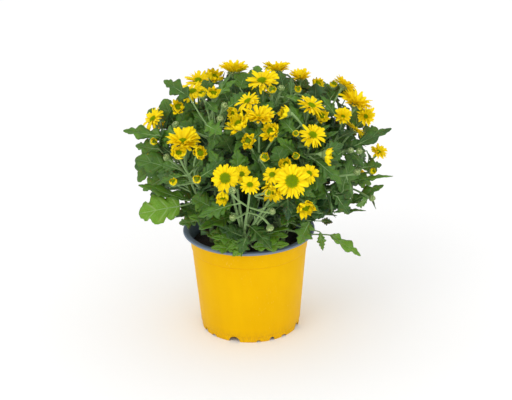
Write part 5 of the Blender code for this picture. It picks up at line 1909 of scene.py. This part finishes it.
def inner_leaves(heads, plants, bed):
    """Smaller leaves between those of the solids, in a list for each plant."""
    rng = random.Random(SEED + 4)
    spacing = bpy.context.scene.chrysanthemum_leaves.inner_spacing
    kept = [[] for plant in plants]
    views = heads_in_view(heads)
    for shown in FILLING_LEAVES:
        leaf, index = filling_leaf(shown, plants, bed, views)
        if leaf:
            keep(leaf, index, kept, bed)
    for index, plant in enumerate(plants):
        turn = rng.uniform(0.0, FULL_TURN)
        for head, path in plant.shoots + plant.stalks:
            for place, along, share in walk(path.points[:-1], 0.10, spacing):
                turn += LEAF_TURN
                length = rng.uniform(24.0, 42.0) * MM * (1.10 - 0.35 * share)
                slant = math.radians(rng.uniform(15.0, 60.0))
                leaf = try_leaf(place, along, turn, length, slant, index, bed, rng, False)
                if leaf and not in_the_way(leaf, views):
                    keep(leaf, index, kept, bed)
    return kept


# Pieces

# Petals that rise less than this many degrees leave a wider disc; more than this, they crowd
FLAT_SLOPE = 8.0
STEEP_SLOPE = 22.0
BUD_PETALS = 13

# Pale leaves: the ones that are wider than this, a part of those below a height, and those of low
# shoots at the front. Leaves nearer the dome's middle than a share of its radii get painted shade
YOUNG_WIDTH = 31.0 * MM
YOUNG_PART = 0.14
YOUNG_HEIGHT = 130.0 * MM
SHOOT_HEIGHT = SOIL_LEVEL + 26.0 * MM
PAINTED_SHADE_REACH = 0.66


def petal_turn(turn, rise, roll=0.0):
    """Euler angles that lay a petal outward at a turn round the head and a rise from its face."""
    out = Vector((math.cos(turn), math.sin(turn), 0.0))
    along = out * math.cos(rise) + Vector((0.0, 0.0, math.sin(rise)))
    above = Vector((0.0, 0.0, math.cos(rise))) - out * math.sin(rise)
    across = along.cross(above)
    frame_here = Matrix((across, along, above)).transposed()
    return (frame_here @ Matrix.Rotation(roll, 3, "Y")).to_euler()


def polar(reach, turn, height):
    return Vector((reach * math.cos(turn), reach * math.sin(turn), height))


# Rings of bracts by kind of head: count, reach, height, length, breadth, rise and shape. Reach and
# breadth are shares of the head's radius; height and length are shares of the height of its cup
BRACT_RINGS = {
    "open": ((14, 0.22, -0.02, 0.34, 0.15, 0.55, BRACT), (11, 0.16, -0.05, 0.24, 0.13, 0.35, BRACT)),
    "half_open": (
        (12, 0.40, 0.02, 0.46, 0.26, 0.85, BRACT), (9, 0.28, -0.04, 0.34, 0.24, 0.6, BRACT)),
    "bud": (
        (8, 0.86, 0.42, 0.95, 0.66, 1.50, BRACT_FOLDED), (9, 0.70, 0.16, 0.80, 0.56, 1.22, BRACT),
        (7, 0.42, 0.02, 0.55, 0.42, 1.00, BRACT)),
}


def around(index, count, jitter, rng):
    """The turn of one of some places round a head, moved by up to a share of its step."""
    return 2 * math.pi * (index + rng.uniform(-jitter, jitter)) / count


def bract_spots(kind, radius, tall, rng):
    spots = []
    for count, reach, height, length, breadth, rise, shape in BRACT_RINGS[kind]:
        for index in range(count):
            turn = around(index, count, 0.15, rng)
            lean = rise + rng.uniform(-0.12, 0.12)
            size = (breadth * radius, length * tall * rng.uniform(0.85, 1.1), length * tall)
            place = polar(reach * radius, turn, height * tall)
            spots.append(Spot(place, petal_turn(turn, lean), size, shape))
    return spots


def cup_spot(kind, radius, tall):
    return Spot(Vector(), (0.0, 0.0, 0.0), (radius, radius, tall), kind)


def open_spots(head, rng):
    """Petals, cup and bracts of an open head, a ray on each of the solid's petals and more between."""
    radius = head.size * MM / 2
    disc = (0.37 if head.slope < FLAT_SLOPE else 0.31) * radius
    steep = head.slope > STEEP_SLOPE
    lift = 0.26 * radius
    rays = head.rays
    pitch = 2 * math.pi / len(rays)
    breadth = bpy.context.scene.chrysanthemum_flowers.ray_breadth
    breadth *= 1.16 if steep else 1.0
    axes = head.frame.to_3x3()
    spots = [cup_spot(CUP_OPEN, radius, radius)]

    def ray(turn, rise, reach, start, height, wide):
        outward = axes @ Vector((math.cos(turn), math.sin(turn), 0.0))
        kind = rng.choice((RAY_FLAT, RAY_FLAT, RAY_TWISTED))
        if outward.z < -0.3 or rng.random() < 0.15:
            kind = RAY_DROOPING
            rise -= rng.uniform(0.0, 0.22)
            wide *= rng.uniform(0.72, 0.95)
        length = (reach - start) / math.cos(min(rise, 0.72))
        width = breadth * wide * rng.uniform(0.85, 1.1) * math.pi * 0.72 * reach / len(rays)
        turned_by = petal_turn(turn, rise, rng.uniform(-0.35, 0.35))
        spots.append(Spot(polar(start, turn, height), turned_by, (width, length, length), kind))

    for index, here in enumerate(rays):
        after = rays[(index + 1) % len(rays)]
        ray(here.turn, here.rise, here.length, 0.84 * disc, lift - 0.03 * radius, 1.0)
        between = here.turn + pitch / 2 + rng.uniform(-0.10, 0.10) * pitch
        low = min(here.rise, after.rise)
        reach = (here.length + after.length) / 2
        ray(between, low - math.radians(rng.uniform(0.0, 8.0)), rng.uniform(0.90, 1.0) * reach,
            0.84 * disc, lift - 0.07 * radius, 0.95)
        quarter = here.turn + pitch * rng.uniform(0.15, 0.35)
        ray(quarter, here.rise + math.radians(rng.uniform(5.0, 11.0)), rng.uniform(0.86, 0.96) * reach,
            0.80 * disc, lift - 0.01 * radius, 0.85)
        inner = here.turn + pitch * rng.uniform(0.6, 0.9)
        ray(inner, here.rise + math.radians(rng.uniform(10.0, 19.0)), rng.uniform(0.70, 0.84) * reach,
            0.74 * disc, lift + 0.01 * radius, 0.80)
        if steep:
            for more in (12.0, 19.0, 27.0):
                inmost = here.turn + pitch * rng.uniform(0.2, 0.8)
                ray(inmost, here.rise + math.radians(more + rng.uniform(-4.0, 4.0)),
                    rng.uniform(0.66, 0.86) * reach, 0.72 * disc, lift + 0.02 * radius, 0.95)
    return spots + bract_spots("open", radius, radius, rng)


# Rows of petals of a half-open head: count, then start, height, and shortest and longest petal as
# shares of its radius, and rise. Those of a head larger than WIDE_HEAD spread by a further share
HALF_OPEN_ROWS = (
    (10, 0.68, 0.42, 0.66, 0.98, 1.08), (9, 0.62, 0.50, 0.52, 0.84, 1.28),
    (7, 0.54, 0.56, 0.34, 0.56, 1.48))
WIDE_HEAD = 14.5
WIDE_SPREAD = 0.24


def half_open_spots(head, rng):
    """Uneven upright petals in three rows round the disc of a half-open head, on its cup."""
    radius = head.size * MM / 2
    spots = [cup_spot(CUP_DEEP, radius, radius)]
    axes = head.frame.to_3x3()
    spread = WIDE_SPREAD if head.size > WIDE_HEAD else 0.0
    for count, start, base, low, high, lean in HALF_OPEN_ROWS:
        for index in range(count):
            turn = around(index, count, 0.3, rng)
            outward = axes @ Vector((math.cos(turn), math.sin(turn), 0.0))
            length = rng.uniform(low + spread, high + spread) * radius
            rise = lean - spread + rng.uniform(-0.22, 0.22)
            if outward.z < -0.4 and rng.random() < 0.5:
                length *= 1.18
                rise -= 0.35
            kind = rng.choice((RAY_UPRIGHT, RAY_UPRIGHT, RAY_FOLDED))
            width = rng.uniform(0.95, 1.3) * 2 * math.pi * 0.80 * radius / count
            spots.append(Spot(polar(start * radius, turn, base * radius),
                              petal_turn(turn, rise, rng.uniform(-0.45, 0.45)),
                              (width, length, length), kind))
    return spots + bract_spots("half_open", radius, radius, rng)


def bud_spots(head, rng):
    """A closed bud, or one whose petals have just come out, in the head's own frame."""
    reach = head.size * MM
    opening = head.kind == "opening"
    radius = (0.42 if opening else 0.46) * reach
    tall = (0.42 if opening else 0.50) * reach
    spots = [cup_spot(CUP_CLOSED, radius, tall)] + bract_spots("bud", radius, tall, rng)
    if opening:
        for index in range(BUD_PETALS):
            turn = around(index, BUD_PETALS, 0.3, rng)
            length = rng.uniform(0.30, 0.50) * reach
            spots.append(Spot(polar(0.72 * radius, turn, 0.34 * reach),
                              petal_turn(turn, rng.uniform(1.10, 1.50), rng.uniform(-0.3, 0.3)),
                              (0.31 * reach, length, length), rng.choice((RAY_UPRIGHT, RAY_FOLDED))))
    return spots


# Part of the florets, and reach, height and dome of the disc in halves of a head's size, by kind
DISCS = {
    "half_open": (2, 0.60, 0.62, 0.07),
    "opening": (4, 0.56, 1.06, 0.05),
}


def head_values(head, seed):
    """What the flower tree is given for a head."""
    radius = head.size * MM / 2
    shapes, floret = head_stores()
    florets = bpy.context.scene.chrysanthemum_flowers.florets
    plain = (1, 0.355 if head.slope < FLAT_SLOPE else 0.30, 0.29, 0.085)
    part, reach, height, dome = DISCS.get(head.kind, plain)
    return {
        "Shapes": shapes, "Floret": floret, "Seed": seed,
        "Ray material": ray_finish(head.kind in DISCS), "Cup material": cup_finish(),
        "Disc material": disc_finish(), "Florets": 0 if head.kind == "bud" else florets // part,
        "Disc radius": reach * radius, "Disc height": height * radius, "Dome": dome * radius}


@lru_cache
def head_stores():
    return (shape_store("head_shapes", head_shapes()),
            bpy.data.objects.new("floret", floret_shape()))


def head_mesh(name, head, seed):
    """A finished head as a plain mesh in its place."""
    spots = {"open": open_spots, "half_open": half_open_spots}.get(head.kind, bud_spots)
    base = points_mesh(name + "_points", spots(head, random.Random(seed)))
    mesh = grown(name, base, head_tree(), head_values(head, seed))
    mesh.transform(face_matrix(head.place, head.normal) if spots is bud_spots else head.frame)
    return mesh


def merged(name, meshes):
    """Several plain meshes as one, with their finishes and labels kept."""
    holders = [add_object("%s_%02d" % (name, index), mesh, bpy.context.scene.collection)
               for index, mesh in enumerate(meshes)]
    with bpy.context.temp_override(
            active_object=holders[0], selected_editable_objects=holders, selected_objects=holders):
        bpy.ops.object.join()
    mesh = holders[0].data
    mesh.name = name
    bpy.data.objects.remove(holders[0])
    return mesh


def leaf_spot(leaf, rng, young):
    wide = leaf.width > YOUNG_WIDTH or (rng.random() < 0.35 and leaf.width > 0.62 * leaf.length)
    form = LEAF_NARROW if leaf.small else (LEAF_BROAD if wide else LEAF_LOBED)
    kind = form * LEAF_VARIANTS + rng.randrange(LEAF_VARIANTS)
    size = (leaf.width, leaf.length, leaf.length)
    return Spot(leaf.frame.translation, leaf.frame.to_euler(), size, kind,
                (leaf.arch, leaf.fold, rng.uniform(0.06, 0.26)), young)


def petiole_paths(leaf):
    """A leaf's stalk and the rib that carries on under its blade, as a thinning path."""
    radius = bpy.context.scene.chrysanthemum_stems.petiole_radius * (0.7 + leaf.length / (70.0 * MM))

    def along(share):
        return leaf.frame @ Vector((0.0, share * leaf.length,
                                    -leaf.arch * leaf.length * share ** 2 - 0.3 * radius))

    root = leaf.frame @ leaf.root
    base = along(0.0)
    sag = (root + base) / 2 - Vector((0.0, 0.0, 0.04 * (root - base).length))
    points = [root, sag, base, along(0.22), along(0.48), along(0.75)]
    return Path(points, [radius * share for share in (1.7, 1.0, 0.9, 0.62, 0.40, 0.15)])


def stem_paths(plant, leaves):
    foot, top = plant.foot, plant.top
    middle = foot.lerp(top, 0.6)
    paths = [Path([foot, middle, top, top + Vector((0.0, 0.0, 2.0 * MM))],
                  [MAIN_STEM_RADIUS * share for share in (1.0, 0.95, 0.72, 0.30)])]
    for head, path in plant.shoots + plant.stalks:
        kept = len(path.points) - (2 if head.kind in ("opening", "bud") else 0)
        radii = path.radii[:kept]
        radii[-1] *= 0.78 if kept == len(path.points) else 1.25
        paths.append(Path(path.points[:kept], radii))
    return paths + [petiole_paths(leaf) for leaf in leaves]


# Operators


class ChrysanthemumStage(bpy.types.Operator):
    """Add the floor, the soft light and the camera at the photo's viewing angle"""

    bl_idname = "chrysanthemum.stage"
    bl_label = "Stage"

    def execute(self, context):
        settings = context.scene.chrysanthemum_stage
        floor = add_object("floor", mesh_from(
            "floor", [(-6.0, -6.0, 0.0), (6.0, -6.0, 0.0), (6.0, 6.0, 0.0), (-6.0, 6.0, 0.0)],
            [(0, 1, 2, 3)]), context.scene.collection)
        material, tree, shader = finish_tree("studio_floor", 0.9)
        shader.inputs["Base Color"].default_value = rgba(settings.floor_colour)
        floor.data.materials.append(material)
        world = bpy.data.worlds.new("studio")
        world.use_nodes = True
        background = world.node_tree.nodes["Background"]
        background.inputs["Color"].default_value = (1.0, 1.0, 1.0, 1.0)
        background.inputs["Strength"].default_value = settings.surround
        context.scene.world = world
        context.scene.view_settings.view_transform = "Standard"
        self.lamp(context, "key", (-1.1, -1.6, 1.9), 1.3, settings.key_power)
        self.lamp(context, "fill", (0.9, -2.0, 0.45), 1.6, settings.fill_power)
        eye, right, up, forward = view_axes()
        camera = bpy.data.cameras.new("camera")
        camera.sensor_width = 36.0
        camera.lens = 36.0 * FOCAL_PIXELS / (2 * PHOTO_CENTRE[0])
        camera.clip_start = 0.05
        holder = add_object("camera", camera, context.scene.collection)
        turn = Matrix((right, up, -forward)).transposed().to_4x4()
        holder.matrix_world = Matrix.Translation(eye) @ turn
        context.scene.camera = holder
        return {"FINISHED"}

    def lamp(self, context, name, place, size, power):
        light = bpy.data.lights.new(name, "AREA")
        light.size = size
        light.energy = power
        holder = add_object(name, light, context.scene.collection)
        towards = (Vector((0.0, 0.0, 0.13)) - Vector(place)).to_track_quat("-Z", "Y")
        holder.matrix_world = Matrix.Translation(place) @ towards.to_matrix().to_4x4()


class ChrysanthemumPot(bpy.types.Operator):
    """Add the pot's shell with its rolled lip, shoulder and scalloped foot"""

    bl_idname = "chrysanthemum.pot"
    bl_label = "Pot"

    def execute(self, context):
        mesh = smooth(pot_mesh(context))
        mesh.materials.append(pot_finish())
        mesh.set_sharp_from_angle(angle=math.radians(35.0))
        piece("pot_shell", mesh, "pot_plastic", "pot")
        return {"FINISHED"}


class ChrysanthemumSoil(bpy.types.Operator):
    """Finish the soil and strew crumbs over it"""

    bl_idname = "chrysanthemum.soil"
    bl_label = "Soil"

    def execute(self, context):
        settings = context.scene.chrysanthemum_soil
        soil = frame["nodes"]["soil"]
        soil.material_slots[0].material = soil_finish()
        mesh = soil_surface(settings.lump)
        surface = piece("soil_surface", mesh, "potting_soil")
        crumbs = grown("soil_crumbs", surface.data.copy(), crumb_tree(), {
            "Shapes": shape_store("crumbs", crumb_shapes()), "Seed": SEED,
            "Density": settings.crumb_density, "Level": SOIL_LEVEL - 6.0 * MM,
            "Soil material": soil_finish()})
        piece("soil_crumbs", crumbs, "potting_soil")
        return {"FINISHED"}


class ChrysanthemumStems(bpy.types.Operator):
    """Grow the stems, flower stalks and leaf stalks of the five plants"""

    bl_idname = "chrysanthemum.stems"
    bl_label = "Stems"

    def execute(self, context):
        heads, plants, leaves, inner = whole_plant()
        step = context.scene.chrysanthemum_stems.step
        for index, plant in enumerate(plants):
            name = plant.name.replace("plant", "stems")
            paths = stem_paths(plant, leaves[index] + inner[index])
            mesh = grown(name, paths_mesh(name + "_paths", paths), stem_tree(), {
                "Step": step, "Sides": 8, "Stem material": stem_finish()})
            piece(name, smooth(mesh), "leaf_green", plant.name)
        return {"FINISHED"}


class ChrysanthemumLeaves(bpy.types.Operator):
    """Grow the lobed leaves of the five plants"""

    bl_idname = "chrysanthemum.leaves"
    bl_label = "Leaves"

    def execute(self, context):
        heads, plants, leaves, inner = whole_plant()
        shapes = shape_store("leaf_shapes", leaf_shapes())
        for index, plant in enumerate(plants):
            rng = random.Random(SEED + 50 + index)
            name = plant.name.replace("plant", "leaves")
            spots = [leaf_spot(leaf, rng, youth_and_painted_shade(leaf, rng))
                     for leaf in leaves[index] + inner[index]]
            mesh = grown(name, points_mesh(name + "_points", spots), foliage_tree(), {
                "Shapes": shapes, "Seed": SEED + index, "Blade material": blade_finish()})
            piece(name, mesh, "leaf_green", plant.name)
        return {"FINISHED"}


class ChrysanthemumHeads(bpy.types.Operator):
    """Grow the open and half-open heads, each in the place of its solid"""

    bl_idname = "chrysanthemum.heads"
    bl_label = "Flower heads"

    def execute(self, context):
        heads = whole_plant()[0]
        number = {"open": 0, "half_open": 0}
        for index, head in enumerate(heads):
            if head.kind not in number:
                continue
            number[head.kind] += 1
            node = ("bloom_%02d" if head.kind == "open" else "half_open_%02d") % number[head.kind]
            mesh = head_mesh(node + "_flower", head, 1000 * SEED + index)
            piece(node + "_flower", mesh, "petal_yellow", node)
        return {"FINISHED"}


class ChrysanthemumBuds(bpy.types.Operator):
    """Grow the closed and the opening buds of the five plants"""

    bl_idname = "chrysanthemum.buds"
    bl_label = "Buds"

    def execute(self, context):
        heads, plants, leaves, inner = whole_plant()
        for index, plant in enumerate(plants):
            name = plant.name.replace("plant", "buds")
            meshes = [head_mesh("%s_%02d" % (name, rank), head, 2000 * SEED + rank)
                      for rank, (head, path) in enumerate(plant.shoots + plant.stalks)
                      if head.kind in ("opening", "bud")]
            if meshes:
                piece(name, merged(name, meshes), "leaf_green", plant.name)
        return {"FINISHED"}


def youth_and_painted_shade(leaf, rng):
    """How pale a leaf is: low ones are young shoots; those deep in the bush get a negative share, which
    the blade finish turns into painted shade.
    """
    if leaf.width > YOUNG_WIDTH:
        return 1.0
    middle = middle_of(leaf)
    pale = rng.random() < YOUNG_PART and middle.z < YOUNG_HEIGHT
    share = rng.uniform(0.4, 1.0) if pale else rng.uniform(0.0, 0.25)
    if leaf.frame.translation.z < SHOOT_HEIGHT:
        return share if middle.y > 0.0 else rng.uniform(0.5, 1.0)
    # A leaf nearer the dome's middle gets a negative share, which becomes painted shade
    reach = math.sqrt(dome_square(middle))
    return share if reach > PAINTED_SHADE_REACH else -min(1.0, (PAINTED_SHADE_REACH - reach) / 0.25)


def pot_mesh(context):
    """The pot turned from its profile, with its foot notched and its floor drained."""
    floor = STEP_HEIGHT + 0.4 * MM
    neck = POT_HEIGHT - 4.0 * MM
    profile = [(radius + out * MM, height + up * MM) for radius, out, height, up in (
        (0.0, 0.0, WALL, 0.0),
        (CENTRE_FOOT_RADIUS, -1.6, WALL, 0.0),
        (CENTRE_FOOT_RADIUS, -0.4, floor + WALL, 0.0),
        (wall_radius(floor), -2.6, floor + WALL, 0.0),
        (wall_radius(floor + 3.0 * MM) - WALL, 0.0, floor, 3.0),
        (wall_radius(neck) - WALL, 0.0, neck, 0.0),
        (LIP_INNER_RADIUS, -1.3, POT_HEIGHT, -1.7),
        (LIP_INNER_RADIUS, -0.4, POT_HEIGHT, -0.45),
        (LIP_INNER_RADIUS, 0.7, POT_HEIGHT, -0.05),
        (LIP_RADIUS, -2.2, POT_HEIGHT, 0.0),
        (LIP_RADIUS, -1.1, POT_HEIGHT, -0.12),
        (LIP_RADIUS, -0.3, POT_HEIGHT, -0.5),
        (LIP_RADIUS, 0.0, POT_HEIGHT, -1.2),
        (LIP_RADIUS, -0.02, POT_HEIGHT - LIP_DROP, 0.5),
        (LIP_RADIUS, -0.5, POT_HEIGHT - LIP_DROP, 0.0),
        (LIP_RADIUS, -1.1, POT_HEIGHT - LIP_DROP, 0.5),
        (LIP_RADIUS, -1.7, POT_HEIGHT, -1.5),
        (wall_radius(neck) + SHOULDER_STEP, 0.5, neck, 0.9),
        (wall_radius(neck) + SHOULDER_STEP, 0.0, neck, 0.0),
        (wall_radius(SHOULDER_HEIGHT + 1.6 * MM) + SHOULDER_STEP, 0.0, SHOULDER_HEIGHT, 1.6),
        (wall_radius(SHOULDER_HEIGHT) + 0.75 * SHOULDER_STEP, 0.0, SHOULDER_HEIGHT, 0.6),
        (wall_radius(SHOULDER_HEIGHT), -0.15, SHOULDER_HEIGHT, 0.0),
        (wall_radius(SHOULDER_HEIGHT - 1.4 * MM), 0.0, SHOULDER_HEIGHT, -1.4),
        (STEP_RADIUS, 0.05, STEP_HEIGHT, 0.5),
        (STEP_RADIUS, -0.25, STEP_HEIGHT, -0.1),
        (FOOT_RADIUS, 0.25, STEP_HEIGHT, -0.5),
        (FOOT_RADIUS, 0.0, 0.0, 0.3),
        (FOOT_RADIUS, -0.3, 0.0, 0.0),
        (FOOT_RADIUS - WALL, 0.2, 0.0, 0.0),
        (FOOT_RADIUS - WALL, 0.0, 0.0, 0.3),
        (FOOT_RADIUS - WALL, 0.0, floor, 0.0),
        (CENTRE_FOOT_RADIUS, 1.2, floor, 0.0),
        (CENTRE_FOOT_RADIUS, 0.0, 0.0, 0.0),
        (0.0, 0.0, 0.0, 0.0),
    )]
    steps = context.scene.chrysanthemum_pot.steps
    shell = add_object("pot_turned", lathe("pot_turned", profile, steps), context.scene.collection)
    cutters = bpy.data.collections.new("notches")
    context.scene.collection.children.link(cutters)
    for quarter in range(4):
        for offset, half_width, height in NOTCHES:
            angle = math.radians(NOTCH_START + 90.0 * quarter + offset)
            placed = (
                Matrix.Rotation(angle, 4, "Z")
                @ Matrix.Translation((0.0, -FOOT_RADIUS, 0.0))
                @ Matrix.Diagonal((half_width * MM, 1.0, height * MM, 1.0))
                @ Matrix.Rotation(math.radians(90.0), 4, "X"))
            add_cutter(cutters, 1.0, 12.0 * MM, placed)
    for index in range(DRAIN_HOLES):
        angle = math.radians(360.0 * index / DRAIN_HOLES)
        placed = Matrix.Rotation(angle, 4, "Z") @ Matrix.Translation(
            (0.0, DRAIN_CIRCLE_RADIUS, floor + WALL / 2))
        add_cutter(cutters, DRAIN_HOLE_RADIUS, 6.0 * MM, placed)
    boolean = shell.modifiers.new("cut", "BOOLEAN")
    boolean.operation = "DIFFERENCE"
    boolean.solver = "EXACT"
    boolean.operand_type = "COLLECTION"
    boolean.collection = cutters
    mesh = applied_mesh(shell, "pot_shell")
    for obj in [shell] + list(cutters.objects):
        bpy.data.objects.remove(obj)
    bpy.data.collections.remove(cutters)
    return mesh


def add_cutter(group, radius, depth, placed):
    shape = bmesh.new()
    bmesh.ops.create_cone(shape, cap_ends=True, segments=28, radius1=radius, radius2=radius,
                          depth=depth, matrix=placed)
    add_object("cutter", bmesh_mesh("cutter", shape), group)


def soil_surface(lump):
    """A lumpy closed skin on top of the soil, round the stems."""
    rng = random.Random(SEED + 30)
    rings = 22
    edge = wall_radius(SOIL_LEVEL) - WALL - 0.4 * MM
    crown = SOIL_LEVEL + 1.2 * MM
    underside = SOIL_LEVEL - 4.0 * MM
    profile = [(0.0, crown)]
    for ring in range(1, rings):
        profile.append((edge * ring / rings, crown - 1.6 * MM * (ring / rings) ** 3))
    profile += [(edge - 0.5 * MM, SOIL_LEVEL - 1.6 * MM), (edge * 0.98, underside), (0.0, underside)]
    mesh = lathe("soil_surface", profile, 72)
    waves = [(rng.uniform(60, 260), rng.uniform(-3.14, 3.14), rng.uniform(0, FULL_TURN))
             for wave in range(12)]
    for vertex in mesh.vertices:
        x, y, z = vertex.co
        if z < SOIL_LEVEL - 3.0 * MM:
            continue
        sway = sum(math.sin(pace * (x * math.cos(way) + y * math.sin(way)) + shift)
                   for pace, way, shift in waves) / len(waves)
        vertex.co.z += lump * (1.6 * sway + rng.uniform(-0.4, 0.4))
    turn_outward(mesh)
    mesh.materials.append(soil_finish())
    return smooth(mesh)


class ChrysanthemumPanel(bpy.types.Panel):
    """Settings of the plant and one button for each of its steps"""

    bl_idname = "VIEW3D_PT_chrysanthemum"
    bl_label = "Pot chrysanthemum"
    bl_space_type = "VIEW_3D"
    bl_region_type = "UI"
    bl_category = "Chrysanthemum"

    def draw(self, context):
        layout = self.layout
        for name, label, settings in SETTINGS:
            box = layout.box()
            box.label(text=label)
            group = getattr(context.scene, name)
            for key in settings.__annotations__:
                box.prop(group, key)
        for operator in OPERATORS:
            layout.operator(operator.bl_idname)


SETTINGS = (
    ("chrysanthemum_stage", "Studio", StageSettings),
    ("chrysanthemum_pot", "Pot", PotSettings),
    ("chrysanthemum_soil", "Soil", SoilSettings),
    ("chrysanthemum_stems", "Stems", StemSettings),
    ("chrysanthemum_leaves", "Leaves", LeafSettings),
    ("chrysanthemum_flowers", "Flowers", FlowerSettings),
)
OPERATORS = (
    ChrysanthemumStage, ChrysanthemumPot, ChrysanthemumSoil, ChrysanthemumStems,
    ChrysanthemumLeaves, ChrysanthemumHeads, ChrysanthemumBuds,
)


def register():
    for name, label, settings in SETTINGS:
        bpy.utils.register_class(settings)
        setattr(bpy.types.Scene, name, PointerProperty(type=settings))
    for each in OPERATORS + (ChrysanthemumPanel,):
        bpy.utils.register_class(each)


def unregister():
    for each in reversed(OPERATORS + (ChrysanthemumPanel,)):
        bpy.utils.unregister_class(each)
    for name, label, settings in reversed(SETTINGS):
        delattr(bpy.types.Scene, name)
        bpy.utils.unregister_class(settings)


def main():
    register()
    bpy.ops.chrysanthemum.stage()
    bpy.ops.chrysanthemum.pot()
    bpy.ops.chrysanthemum.soil()
    bpy.ops.chrysanthemum.stems()
    bpy.ops.chrysanthemum.leaves()
    bpy.ops.chrysanthemum.heads()
    bpy.ops.chrysanthemum.buds()
    for obj in list(bpy.data.objects):
        if not obj.users_scene:
            bpy.data.objects.remove(obj)


if __name__ == "__main__":
    main()
